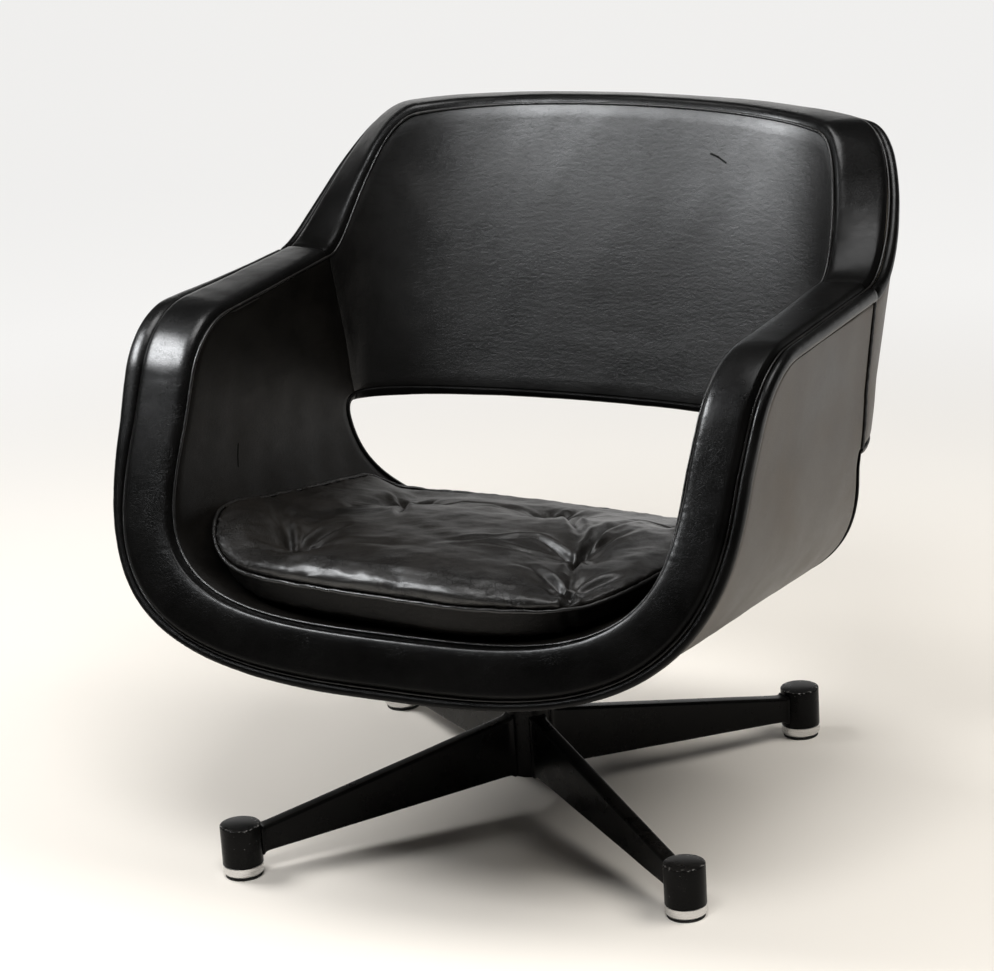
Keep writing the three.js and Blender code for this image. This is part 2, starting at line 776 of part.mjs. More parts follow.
function bolt() {
  const head_top = plate_bottom - touch_gap;
  const head = new THREE.CylinderGeometry(
    bolt_head_diameter / 2, bolt_head_diameter / 2, bolt_head_height, hex_sides);
  head.rotateX(90 * deg).translate(0, 0, head_top - bolt_head_height / 2);
  const shank = cylinder(bolt_diameter, head_top - bolt_head_height / 2, bolt_reach, small_steps);
  return geometry_from(solid_of(head).add(solid_of(shank)));
}

const tee_nut = () => turned([
  [bolt_hole / 2, tee_nut_bottom],
  [tee_nut_barrel / 2, tee_nut_bottom],
  [tee_nut_barrel / 2, tee_nut_level],
  [tee_nut_diameter / 2, tee_nut_level],
  [tee_nut_diameter / 2, tee_nut_top],
  [bolt_hole / 2, tee_nut_top],
  [bolt_hole / 2, tee_nut_bottom],
], small_steps);

// Swivel spindle and its bearing, stacked up from the end of the hub tube
const hub_top = seat_underside - bearing_room;
const hub_radius = hub_diameter / 2;
const bore_radius = hub_bore / 2;
const spindle_radius = spindle_diameter / 2;
const running_radius = spindle_radius + sliding_gap;
const bush_radius = bore_radius - touch_gap;
const flange_bottom = hub_top + touch_gap;
const washer_bottom = flange_bottom + bush_flange + touch_gap;
const collar_bottom = washer_bottom + thrust_washer_thickness + touch_gap;
const collar_top = collar_bottom + spindle_collar_height;
const clip_bottom = hub_bottom + clip_recess;
const groove_bottom = clip_bottom - touch_gap;
const groove_top = clip_bottom + clip_thickness + touch_gap;
const lower_bush_bottom = groove_top + touch_gap;
const groove_radius = clip_groove_diameter / 2;

const ring_profile = (inside, outside, bottom, top) => [
  [inside, bottom], [outside, bottom], [outside, top], [inside, top], [inside, bottom],
];
const hub_post = () => turned(ring_profile(bore_radius, hub_radius, hub_bottom, hub_top));
const lower_bush = () => turned(ring_profile(
  running_radius, bush_radius, lower_bush_bottom, lower_bush_bottom + bush_length), plain_steps);
const upper_bush = () => turned([
  [running_radius, hub_top - bush_length],
  [bush_radius, hub_top - bush_length],
  [bush_radius, flange_bottom],
  [bush_flange_diameter / 2, flange_bottom],
  [bush_flange_diameter / 2, flange_bottom + bush_flange],
  [running_radius, flange_bottom + bush_flange],
  [running_radius, hub_top - bush_length],
], plain_steps);
const thrust_washer = () => turned(ring_profile(running_radius, bush_flange_diameter / 2,
  washer_bottom, washer_bottom + thrust_washer_thickness), plain_steps);
const retaining_clip = () => turned(ring_profile(groove_radius + touch_gap, clip_diameter / 2,
  clip_bottom, clip_bottom + clip_thickness), plain_steps);
const hub_end_cap = () =>
  cylinder(2 * bush_radius, hub_bottom, hub_bottom + end_cap_thickness, plain_steps);

function spindle() {
  const stem = turned([
    [0, groove_bottom - spindle_tail],
    [spindle_radius, groove_bottom - spindle_tail],
    [spindle_radius, groove_bottom],
    [groove_radius, groove_bottom],
    [groove_radius, groove_top],
    [spindle_radius, groove_top],
    [spindle_radius, collar_bottom],
    [spindle_collar_diameter / 2, collar_bottom],
    [spindle_collar_diameter / 2, collar_top],
    [spindle_neck_diameter / 2, collar_top],
    [spindle_neck_diameter / 2, seat_underside],
    [0, seat_underside],
  ]);
  const above = new THREE.BoxGeometry(plate_size, plate_size, cut_overrun);
  above.translate(0, 0, plate_bottom - touch_gap + cut_overrun / 2);
  return cut(stem, [tilted(above)]);
}

// Legs run level-sided from the hub out to the foot posts and taper in height
function leg(turn) {
  const reach = foot_radius - hub_radius - post_diameter / 2;
  const ring_at = (share) => {
    const top = lerp(leg_root_top, leg_tip_top, share);
    const bottom = lerp(leg_root_bottom, leg_tip_bottom, share);
    const half = leg_width / 2;
    const r = leg_edge_radius;
    const corners = [[half - r, top - r, 0], [r - half, top - r, 1],
      [r - half, bottom + r, 2], [half - r, bottom + r, 3]];
    return corners.flatMap(([y, z, quarter]) => share_list(leg_edge_steps).map((s) => {
      const angle = (quarter + s) * 90 * deg;
      const out = hub_radius + share * reach;
      return new THREE.Vector3(out, y + r * Math.cos(angle), z + r * Math.sin(angle));
    }));
  };
  const over = post_diameter / 4 / reach;
  const bar = loft([ring_at(-over), ring_at(1 + over)], seen_along_x);
  const hub_room_diameter = hub_diameter + 2 * touch_gap;
  const hub_room = cylinder(hub_room_diameter, hub_bottom - cut_overrun, hub_top + cut_overrun);
  const post_room = cylinder(post_diameter + 2 * touch_gap, -cut_overrun, hub_top, post_steps);
  post_room.rotateZ(180 * deg / post_steps);
  return cut(bar, [hub_room, post_room.translate(foot_radius, 0, 0)]).rotateZ(turn);
}

const leg_turns = Array.from({ length: leg_count }, (_, i) =>
  (base_turn + (i + 0.5) * 360 / leg_count) * deg);
const at_foot = (geometry, turn) => geometry.rotateZ(180 * deg / post_steps)
  .translate(foot_radius, 0, 0).rotateZ(turn);

const post_radius = post_diameter / 2;
const glide_top = pad_thickness + touch_gap + glide_height;
const post_bottom = glide_top + touch_gap;
const bore_top = post_bottom + stem_length + touch_gap;
const stem_room = stem_diameter / 2 + sliding_gap;
const foot_post = () => turned([
  [stem_room, post_bottom],
  [post_radius, post_bottom],
  [post_radius, post_top - post_edge],
  [post_radius - post_edge, post_top],
  [0, post_top],
  [0, bore_top],
  [stem_room, bore_top],
  [stem_room, post_bottom],
], post_steps);
const foot_glide = () => turned([
  [0, glide_top - glide_height],
  [post_radius - glide_chamfer, glide_top - glide_height],
  [post_radius, glide_top - glide_height + glide_chamfer],
  [post_radius, glide_top],
  [stem_diameter / 2, glide_top],
  [stem_diameter / 2, post_bottom + stem_length - touch_gap],
  [0, post_bottom + stem_length - touch_gap],
], post_steps);
const glide_pad = () => cylinder(2 * (post_radius - pad_inset), 0, pad_thickness, post_steps);

// Loose cushion. It lies a little askew in the bucket, and its corners are rounded.
const quarter_curve = (from, to, power) => share_list(fine_steps).map((s) => new THREE.Vector2(
  cushion_half_width * Math.max(Math.cos(s * 90 * deg), 0) ** (2 / power),
  lerp(from, to, Math.sin(s * 90 * deg) ** (2 / power))));
const cushion_half = [
  ...quarter_curve(cushion_round_start, -cushion_front, cushion_front_power).reverse(),
  ...quarter_curve(cushion_rear_start, cushion_back, cushion_rear_power),
];
const cushion_side = along(cushion_half);
const half_outline = share_list(cushion_steps / 2).map(cushion_side);
const straight_middle = new THREE.Vector2(0, (cushion_back - cushion_front) / 2);
const askew = new THREE.Vector2(cushion_shift, 0);
const cushion_middle = straight_middle.clone().add(askew);
const cushion_outline = [
  ...half_outline,
  ...half_outline.slice(1, -1).reverse().map((p) => new THREE.Vector2(-p.x, p.y)),
].map((p) => p.clone().rotateAround(straight_middle, cushion_turn * deg).add(askew));

const greater = (a, b) => (a + b + Math.hypot(a - b, height_blend)) / 2;
const cushion_level = (y) => cushion_welt_height - floor_drop_slope * (y + cushion_front);
const welt_z = (x, y) => greater(cushion_level(y), floor_z(x, y) + cushion_side_height);
const rest_z = (x, y) => floor_z(x, y)
  + lerp(cushion_floor_gap, cushion_side_gap, (Math.abs(x) / cushion_half_width) ** lift_power);
const under_z = (x, y) => Math.max(welt_z(x, y) - cushion_boxing, rest_z(x, y));

const tufts = [
  new THREE.Vector2(left_front_tuft_x, left_front_tuft_y),
  new THREE.Vector2(right_front_tuft_x, right_front_tuft_y),
  new THREE.Vector2(right_middle_tuft_x, right_middle_tuft_y),
  new THREE.Vector2(left_rear_tuft_x, left_rear_tuft_y),
  new THREE.Vector2(middle_rear_tuft_x, middle_rear_tuft_y),
  new THREE.Vector2(right_rear_tuft_x, right_rear_tuft_y),
];
const tuft_pull = (p) => tufts.reduce((sum, tuft) =>
  sum + tuft_depth * Math.exp(-((p.distanceTo(tuft) / tuft_radius) ** 2)), 0);

// Top of the cushion: share of the outline, swell beyond it and share of the crown
const top_shares = [
  [1, 0, 0], [1, 0.5, 0.2], [1, 1, 0.42], [0.98, 0.8, 0.64], [0.93, 0, 0.82], [0.85, 0, 0.93],
  [0.75, 0, 0.99], [0.64, 0, 1], [0.53, 0, 1], [0.42, 0, 1], [0.31, 0, 1], [0.2, 0, 1], [0.08, 0, 1],
];
const under_shares = [0.9, 0.6, 0.25];

function seat_cushion() {
  const toward = (p, share) => cushion_middle.clone().lerp(p, share);
  const top_rings = top_shares.map(([share, swell, rise]) => cushion_outline.map((edge) => {
    const p = toward(edge, share);
    const across = (p.x - cushion_middle.x) / cushion_half_width;
    const rear = smooth(clamp01((p.y - crown_fall_start) / (cushion_back - crown_fall_start)));
    const crown_share = lerp(1, rear_crown_share, rear) * (1 - side_crown_loss_share * across ** 2);
    const crown = cushion_crown * crown_share;
    const bulge = swell * crown_share;
    p.x = cushion_middle.x + (p.x - cushion_middle.x) * (1 + bulge * swell_x_share);
    p.y = cushion_middle.y + (p.y - cushion_middle.y) * (1 + bulge * swell_y_share);
    const edge_lift = welt_z(edge.x, edge.y) - cushion_level(edge.y);
    const z = cushion_level(p.y) + edge_lift * share ** lift_power + crown * rise
      - tuft_pull(p) * rise;
    return new THREE.Vector3(p.x, p.y, z);
  }));
  const side_ring = (share, draw) => cushion_outline.map((edge) => {
    const length = edge.distanceTo(cushion_middle);
    const p = toward(edge, 1 - draw / length);
    return new THREE.Vector3(p.x, p.y, lerp(welt_z(edge.x, edge.y), under_z(p.x, p.y), share));
  });
  const under_rings = under_shares.map((share) => cushion_outline.map((edge) => {
    const p = toward(edge, share);
    return new THREE.Vector3(p.x, p.y, rest_z(p.x, p.y));
  }));
  const rings = [
    ...top_rings.reverse(),
    side_ring(0.5, boxing_draw_in / 2),
    side_ring(1, boxing_draw_in),
    ...under_rings,
  ];
  return loft(rings, seen_along_z);
}

function cushion_welt() {
  const radius = cushion_welt_diameter / 2;
  const rings = cushion_outline.map((edge, i) => {
    const n = cushion_outline.length;
    const before = cushion_outline[(i + n - 1) % n];
    const after = cushion_outline[(i + 1) % n];
    const away = new THREE.Vector2(after.y - before.y, before.x - after.x).normalize();
    if (away.dot(edge.clone().sub(cushion_middle)) < 0) away.negate();
    const centre = edge.clone().addScaledVector(away, radius + cushion_welt_gap);
    const z = welt_z(edge.x, edge.y);
    return share_list(welt_sides).slice(1).map((s) => {
      const turn = s * 360 * deg;
      const p = centre.clone().addScaledVector(away, radius * Math.cos(turn));
      return new THREE.Vector3(p.x, p.y, z + radius * Math.sin(turn));
    });
  });
  return skin(rings, true);
}

// Bucket layers with their passages for the fixings
const bucket_shell = () => cut(
  bucket_layer(layers.shell, with_joint(shell_joint_gap)), [...bolt_passages, ...barrel_rooms]);
const bucket_foam = () => cut(
  bucket_layer(layers.foam, with_joint(foam_joint_gap)), [...nut_rooms, ...strip_rooms]);
const bucket_outer_cover = () => cut(
  bucket_layer(layers.outer_cover, with_joint(welt_room + side_seam_slant)), bolt_passages);

// Assembly
const chair = new THREE.Group();
chair.name = 'pedestal_armchair';
function section_group(name, parts) {
  const group = new THREE.Group();
  group.name = name;
  for (const [part_name, geometry, material] of parts) {
    const mesh = new THREE.Mesh(geometry, material());
    mesh.name = part_name;
    group.add(mesh);
  }
  chair.add(group);
}
const numbered = (name, geometries, material) =>
  geometries.map((geometry, i) => [`${name}_${i + 1}`, geometry, material]);

section_group('pedestal', [
  ['hub_post', hub_post(), black_paint],
  ...numbered('leg', leg_turns.map(leg), black_paint),
  ...numbered('foot_post', leg_turns.map((turn) => at_foot(foot_post(), turn)), black_paint),
  ['upper_bush', upper_bush(), bearing_plastic],
  ['lower_bush', lower_bush(), bearing_plastic],
  ['thrust_washer', thrust_washer(), bearing_plastic],
  ['hub_end_cap', hub_end_cap(), dark_pad],
  ...numbered('foot_glide', leg_turns.map((turn) => at_foot(foot_glide(), turn)), bright_steel),
  ...numbered('glide_pad', leg_turns.map((turn) => at_foot(glide_pad(), turn)), dark_pad),
]);

section_group('seat_fixing', [
  ['spindle', spindle(), zinc_steel],
  ['retaining_clip', retaining_clip(), zinc_steel],
  ['seat_plate', seat_plate(), black_paint],
  ...numbered('plate_bolt', at_bolts(bolt), zinc_steel),
  ...numbered('tee_nut', at_bolts(tee_nut), zinc_steel),
]);

section_group('bucket', [
  ['bucket_shell', bucket_shell(), moulded_shell],
  ['bucket_foam', bucket_foam(), grey_foam],
  ['bucket_inner_cover', bucket_layer(layers.inner_cover, with_joint(touch_gap)), black_leather],
  ['bucket_outer_cover', bucket_outer_cover(), black_leather],
  ['front_rim_band', sweep(front_edge_run, band_section), black_leather],
  ['front_rim_border', sweep(front_edge_run, border_section), black_leather],
  ['front_inner_welt', sweep(front_edge_run, inner_welt_section), black_welt],
  ['front_outer_welt', sweep(front_edge_run, outer_welt_section), black_welt],
  ['gap_edge_cover', sweep(gap_edge_run, edge_section), black_leather],
]);

section_group('backrest', [
  ['back_shell', back_layer(layers.shell, with_joint(shell_joint_gap)), moulded_shell],
  ['back_foam', cut(back_layer(layers.foam, with_joint(foam_joint_gap)), strip_rooms), grey_foam],
  ['back_inner_cover', back_layer(layers.inner_cover, with_joint(touch_gap)), black_leather],
  ['back_outer_cover', back_layer(layers.outer_cover, with_joint(welt_room)), black_leather],
  ['back_rim_band', sweep(back_edge_run, band_section), black_leather],
  ['back_rim_border', sweep(back_edge_run, border_section), black_leather],
  ['back_inner_welt', sweep(back_edge_run, inner_welt_section), black_welt],
  ['back_outer_welt', sweep(back_edge_run, outer_welt_section), black_welt],
  ['back_low_edge_cover', sweep(low_edge_run, edge_section), black_leather],
  ['joint_strip_left', joint_strip(-1, 0), moulded_shell],
  ['joint_strip_right', joint_strip(1, 0), moulded_shell],
  ['side_seam_welt_left', side_seam_welt(-1), black_welt],
  ['side_seam_welt_right', side_seam_welt(1), black_welt],
]);

section_group('seat', [
  ['seat_cushion', seat_cushion(), black_leather],
  ['cushion_welt', cushion_welt(), black_welt],
]);

// The middle of the footprint becomes the origin
const bounds = new THREE.Box3().setFromObject(chair);
const footprint_middle = bounds.getCenter(new THREE.Vector3());
for (const group of chair.children) {
  group.position.set(-footprint_middle.x, -footprint_middle.y, -bounds.min.z);
}

export default chair;
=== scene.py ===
import math

import bpy
import bmesh
import numpy as np
from mathutils import Matrix, Vector


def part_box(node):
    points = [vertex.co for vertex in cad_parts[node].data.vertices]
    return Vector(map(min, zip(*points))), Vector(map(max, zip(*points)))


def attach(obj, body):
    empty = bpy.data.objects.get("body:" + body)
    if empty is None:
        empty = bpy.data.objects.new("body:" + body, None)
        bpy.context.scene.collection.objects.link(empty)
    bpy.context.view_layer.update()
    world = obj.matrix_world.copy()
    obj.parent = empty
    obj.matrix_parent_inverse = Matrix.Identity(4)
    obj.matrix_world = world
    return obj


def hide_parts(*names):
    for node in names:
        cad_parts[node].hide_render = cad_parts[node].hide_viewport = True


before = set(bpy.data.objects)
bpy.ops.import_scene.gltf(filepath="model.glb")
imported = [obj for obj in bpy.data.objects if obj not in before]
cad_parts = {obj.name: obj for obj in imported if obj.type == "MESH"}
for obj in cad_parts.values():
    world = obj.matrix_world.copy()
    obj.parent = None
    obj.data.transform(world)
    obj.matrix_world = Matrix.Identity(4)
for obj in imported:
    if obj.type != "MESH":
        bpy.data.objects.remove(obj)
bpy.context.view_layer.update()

# Worn black leather swivel armchair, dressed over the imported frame. The shaping below works
# in millimetres about the swivel axis and is turned into metres when a mesh is made.
MM = 0.001
HUB_LOW, HUB_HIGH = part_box("hub_post")
AXIS = (HUB_LOW + HUB_HIGH) / 2
ORIGIN = np.array([AXIS.x, AXIS.y, 0])

# Sizes of the bucket, in millimetres
HALF = (284, 351)
FLOOR = (298.5, 237)
POWER = (3.4, 2.83)
FLARE = (6, 6)
GAP_FRONT = (148, 113)
GAP_POWER = (2.3, 1.15)
JOINT_LEAN = (0.12, -0.185)
LOW_HEIGHT = (387, 392)
WALL = 67
ARM_HEIGHT = 561
ARM_RISE = 2
ARM_BACK = 142.5
ARM_CORNER = 110
BEND_HEIGHT = 459
FLOOR_SLOPE = 0.1
FRONT_REACH = 317
LEAN_START = 243
LEAN = math.radians(29.6)
LEAN_BLEND = 260
SETBACK = 4.5
SETBACK_FADE = 200
FLOOR_BACK = 215
GAP_CORNER = 12

# Sizes of the backrest
BACK_LOW = 387
BACK_LOW_DEPTH = 226.5
BACK_RECLINE = 0.264
BACK_THICKNESS = 74
BACK_LOW_POWER = 2
BACK_POWER = (3.46, 2.78)
SHOULDER_HEIGHT = 690.5
SHOULDER_SHARE = 0.41
CROWN_START = 0.246
BACK_CROWN = 21
BACK_OUTER_DROP = 11
BACK_SIDE_LENGTH = 450

# Sizes of the upholstery
COVER = 3
RIM_ROOM = 13.8
EDGE_ROOM = 9.8
GAP = 0.3
SEAM_INSET = 10
RUN_STEP = 2.5
LEFT_BULGE = 11
CREST = 5.0
PANEL_TUCK = 1.6
PANEL_TUCK_WIDTH = 6.0


def clamp01(value):
    return np.clip(value, 0.0, 1.0)


def smooth(share):
    share = clamp01(share)
    return share * share * (3 - 2 * share)


def lerp(a, b, share):
    return a + (b - a) * share


def bell(value, width):
    return np.exp(-((value / width) ** 2))


def full_turn(steps):
    return np.linspace(0, 2 * math.pi, steps, endpoint=False)


def plane_length(x, y):
    return np.concatenate([[0], np.cumsum(np.hypot(np.diff(x), np.diff(y)))])


def path_length(points):
    return np.concatenate([[0], np.cumsum(np.linalg.norm(np.diff(points, axis=0), axis=1))])


def resampled(at, length, points):
    """Points of a line at the lengths given."""
    return np.stack([np.interp(at, length, column) for column in points.T], axis=1)


def floor_drop(y):
    return FLOOR_SLOPE * (y + FRONT_REACH)


def fall_height(face, y):
    return BEND_HEIGHT - FLOOR[face] + floor_drop(y)


def bend_x(face, fall):
    return HALF[face] * (1 - clamp01(fall) ** POWER[face]) ** (1 / POWER[face])


def face_x(face, z, y):
    if z >= BEND_HEIGHT:
        return HALF[face] + FLARE[face] * (z - BEND_HEIGHT) / (ARM_HEIGHT - BEND_HEIGHT)
    return bend_x(face, (BEND_HEIGHT - z) / fall_height(face, y))


def floor_z(x, y):
    bend = (1 - clamp01(np.abs(x) / HALF[0]) ** POWER[0]) ** (1 / POWER[0])
    return BEND_HEIGHT - fall_height(0, y) * bend


BLEND_Y = LEAN_BLEND - FRONT_REACH
BLEND_Z = LEAN_START - LEAN_BLEND * math.tan(LEAN / 2)
ARM_CENTRE_Y = (
    -FRONT_REACH
    + (ARM_HEIGHT - LEAN_START) * math.tan(LEAN)
    + ARM_CORNER * math.tan((math.pi / 2 - LEAN) / 2)
)
ARM_CENTRE_Z = ARM_HEIGHT - ARM_CORNER


def front_edge(z, inset):
    radius = LEAN_BLEND - inset
    rise = z - BLEND_Z
    if rise <= 0:
        return BLEND_Y - radius
    if rise < radius * math.sin(LEAN):
        return BLEND_Y - math.sqrt(radius**2 - rise**2)
    return BLEND_Y - radius * math.cos(LEAN) + (rise - radius * math.sin(LEAN)) * math.tan(LEAN)


def setback(face, y=-FRONT_REACH):
    return 0.0 if face == 1 else SETBACK * float(clamp01((ARM_BACK - y) / SETBACK_FADE))


def joint_y(face, z):
    return ARM_BACK + (ARM_HEIGHT - z) * JOINT_LEAN[face]


def gap_top(face):
    return LOW_HEIGHT[face] - GAP_CORNER


def gap_edge(face, z, inset):
    end = FLOOR[face] - floor_drop(FLOOR_BACK)
    fall = clamp01((gap_top(face) - z) / (gap_top(face) - end))
    return lerp(GAP_FRONT[face], FLOOR_BACK, fall ** GAP_POWER[face]) - inset


def corner_fall(face, z):
    return (BEND_HEIGHT - z) / fall_height(face, GAP_FRONT[face])


def even_falls(face, steps):
    height = BEND_HEIGHT - FLOOR[face]
    last = corner_fall(face, gap_top(face))
    end = math.acos(last ** (POWER[face] / 2))
    turn = np.linspace(0, end, 400)
    across = HALF[face] * np.sin(turn) ** (2 / POWER[face])
    down = height * np.cos(turn) ** (2 / POWER[face])
    length = plane_length(across, down)
    return np.interp(np.linspace(0, length[-1], steps + 1), length, down) / height


# Rows across the bucket: ("gap", fall, fall), ("corner", share, fall, fall),
# ("side", fall, fall, share) and ("arm", turn), from the middle of the floor up to the arm's top.
def bucket_rows(floor_steps, corner_steps, side_steps, arm_steps):
    falls = [even_falls(face, floor_steps) for face in (0, 1)]
    lows = [corner_fall(face, LOW_HEIGHT[face]) for face in (0, 1)]
    rows = [("gap", a, b) for a, b in zip(*falls)]
    rows += [("corner", s, falls[0][-1], falls[1][-1]) for s in np.linspace(0, 1, corner_steps + 1)[1:]]
    sides = np.linspace(0, 1, side_steps + 1)[1:]
    rows += [("side", lows[0] * (1 - s), lows[1] * (1 - s), s) for s in sides]
    rows += [("arm", turn) for turn in np.linspace(LEAN, math.pi / 2, arm_steps + 1)[1:]]
    return rows


def row_fall(face, row):
    if row[0] == "corner":
        return lerp(row[2 + face], corner_fall(face, LOW_HEIGHT[face]), row[1])
    return row[1 + face]


def settled(fall, face, start, edge_at):
    y = start
    for _ in range(8):
        y = edge_at(BEND_HEIGHT - fall * fall_height(face, y))
    return np.array([bend_x(face, fall), y, BEND_HEIGHT - fall * fall_height(face, y)])


def front_corner(face, row, inset):
    deep = inset + setback(face)
    if row[0] != "arm":
        return settled(row_fall(face, row), face, -FRONT_REACH, lambda z: front_edge(z, deep))
    radius = ARM_CORNER - deep
    z = ARM_CENTRE_Z + radius * math.sin(row[1])
    y = ARM_CENTRE_Y - radius * math.cos(row[1])
    return np.array([face_x(face, z, y), y, z])


def beside_joint(face, z, joint):
    y = joint_y(face, z) - joint
    return np.array([face_x(face, z, y), y, z])


def rear_corner(face, row, front, gap, joint):
    low = LOW_HEIGHT[face] + gap
    if row[0] in ("gap", "corner"):
        fall = row[1 + face] if row[0] == "gap" else row[2 + face]
        first = settled(fall, face, GAP_FRONT[face], lambda z: gap_edge(face, z, gap))
        if row[0] == "gap":
            return first
        last = beside_joint(face, low, joint)
        bend = np.array([last[0], first[1], last[2]])
        s = row[1]
        return (1 - s) ** 2 * first + 2 * s * (1 - s) * bend + s * s * last
    if row[0] == "side":
        return beside_joint(face, lerp(low, BEND_HEIGHT, row[3]), joint)
    top = ARM_CENTRE_Z + ARM_CORNER - front - setback(face)
    share = (front_corner(face, row, front)[2] - BEND_HEIGHT) / (top - BEND_HEIGHT)
    return beside_joint(face, lerp(BEND_HEIGHT, ARM_HEIGHT + ARM_RISE - front, share), joint)


def mirror(points):
    return points * np.array([-1, 1, 1])


def both_sides(half):
    """Joins a right half, that starts in the middle, to its mirror image on the left."""
    return np.concatenate([mirror(half[:0:-1]), half])


# Backrest
def back_plan(face, z, reaches):
    share = clamp01((z - BACK_LOW) / (SHOULDER_HEIGHT - BACK_LOW))
    power = 2 / lerp(BACK_LOW_POWER, BACK_POWER[face], share)
    half = face_x(face, z, ARM_BACK)
    start = joint_y(face, z)
    middle = BACK_LOW_DEPTH + BACK_RECLINE * (z - BACK_LOW) + face * BACK_THICKNESS
    turn = np.linspace(0, math.pi / 2, 300)
    x = half * np.maximum(np.cos(turn), 0) ** power
    y = start + (middle - start) * np.sin(turn) ** power
    length = plane_length(x, y)
    at = np.asarray(reaches) * length[-1]
    return np.interp(at, length, x), np.interp(at, length, y)


def back_top(face, u):
    reach = 1 - np.abs(u)
    start = ARM_HEIGHT + ARM_RISE
    swell = clamp01((reach - CROWN_START) / (1 - CROWN_START))
    rise = (SHOULDER_HEIGHT - start) * smooth(reach / SHOULDER_SHARE)
    return start + rise + (BACK_CROWN - BACK_OUTER_DROP * face) * (1 - (1 - swell) ** 2)


def back_point(face, u, z):
    x, y = back_plan(face, z, 1 - abs(u))
    return np.array([math.copysign(1, u) * float(x), float(y), z])


def square_depth(u, depth):
    ends = [float(np.clip(v, -1, 1)) for v in (u - 0.02, u + 0.02)]
    near = [back_point(1, v, float(back_top(1, v))) for v in ends]
    step = near[1] - near[0]
    return depth * np.linalg.norm(step) / math.hypot(step[0], step[1])


# Edge runs: inner and outer corners of an edge, and the steps into the wall below them
def edge_run(corner, keys, depth):
    run = {}
    for face, label in enumerate(("inner", "outer")):
        edge, deep = (np.array([corner(face, key, inset) for key in keys]) for inset in (0.0, depth))
        run[label] = edge
        run[f"{label}_drop"] = (deep - edge) / depth
    return run


def even_run(run):
    length = path_length((run["inner"] + run["outer"]) / 2)
    at = np.linspace(0, length[-1], int(length[-1] / RUN_STEP) + 1)
    even = {name: resampled(at, length, values) for name, values in run.items()}
    even["at"] = at
    return even


def mirrored_run(run):
    return {name: both_sides(values) for name, values in run.items()}


def joined(first, second):
    return {name: np.concatenate([first[name], second[name][1:]]) for name in first}


def arm_top_corner(face, share, inset):
    end = ARM_HEIGHT + ARM_RISE - inset
    y = lerp(ARM_CENTRE_Y, joint_y(face, end) - GAP, share)
    z = ARM_HEIGHT + ARM_RISE * share - inset - setback(face, y)
    return np.array([face_x(face, z, y), y, z])


EDGE_ROWS = bucket_rows(60, 8, 16, 40)
FRONT_RUN = even_run(mirrored_run(joined(
    edge_run(front_corner, EDGE_ROWS, RIM_ROOM),
    edge_run(arm_top_corner, np.linspace(0, 1, 24), RIM_ROOM),
)))


def back_edge_corner(face, u, inset):
    return back_point(face, u, float(back_top(face, u)) - square_depth(u, inset))


BACK_RUN = even_run(edge_run(back_edge_corner, np.linspace(-0.9995, 0.9995, 301), RIM_ROOM))


def gap_edge_joint(inset):
    return lerp(2.5, GAP, inset / EDGE_ROOM)


GAP_RUN = even_run(mirrored_run(edge_run(
    lambda face, row, inset: rear_corner(face, row, 0, inset, gap_edge_joint(inset)),
    [row for row in EDGE_ROWS if row[0] in ("gap", "corner")],
    EDGE_ROOM,
)))
LOW_RUN = even_run(edge_run(
    lambda face, u, inset: back_point(face, u, LOW_HEIGHT[face] + inset),
    np.linspace(-0.995, 0.995, 201),
    EDGE_ROOM,
))


def rounded(section):
    """Copy of a closed section with its corners cut off three times."""
    points = np.array(section, float)
    for _ in range(3):
        after = np.roll(points, -1, axis=0)
        points = np.stack([0.75 * points + 0.25 * after, 0.25 * points + 0.75 * after], axis=1)
        points = points.reshape(-1, 3)
    return points


def swept(run, section):
    """Grid of points, one ring for each station, from a section of share, offset and depth."""
    across = run["outer"] - run["inner"]
    unit = across / np.linalg.norm(across, axis=1, keepdims=True)
    share, offset, depth = (np.asarray(section)[:, k][None, :, None] for k in range(3))
    drop = lerp(run["inner_drop"][:, None], run["outer_drop"][:, None], share)
    return run["inner"][:, None] + across[:, None] * share + unit[:, None] * offset + drop * depth


def grid_normals(grid, around=False):
    along = np.gradient(grid, axis=0)
    if around:
        over = (np.roll(grid, -1, axis=1) - np.roll(grid, 1, axis=1)) / 2
    else:
        over = np.gradient(grid, axis=1)
    normal = np.cross(along, over)
    return normal / np.maximum(np.linalg.norm(normal, axis=2, keepdims=True), 1e-9)


class Ripple:
    """Smooth unevenness: a sum of soft waves in space, of about the wavelength given."""

    def __init__(self, wavelength, seed, waves=14):
        rng = np.random.default_rng(seed)
        self.directions = rng.normal(size=(waves, 3))
        self.directions /= np.linalg.norm(self.directions, axis=1, keepdims=True)
        self.directions *= 2 * math.pi / (wavelength * rng.uniform(0.7, 1.5, size=(waves, 1)))
        self.phases = rng.uniform(0, 2 * math.pi, waves)

    def __call__(self, points):
        return np.sin(points @ self.directions.T + self.phases).sum(axis=-1) / math.sqrt(len(self.phases))


# Meshes
def in_metres(points):
    return points * MM + ORIGIN


def in_millimetres(coords):
    return (np.asarray(coords) - ORIGIN) / MM


def coords_of(mesh):
    return np.array([v.co for v in mesh.vertices])


def edit_mesh(mesh, *steps):
    bm = bmesh.new()
    bm.from_mesh(mesh)
    for step in steps:
        step(bm)
    bm.to_mesh(mesh)
    bm.free()


def outward(bm):
    bmesh.ops.recalc_face_normals(bm, faces=bm.faces)


def shade_smooth(mesh):
    mesh.polygons.foreach_set("use_smooth", [True] * len(mesh.polygons))


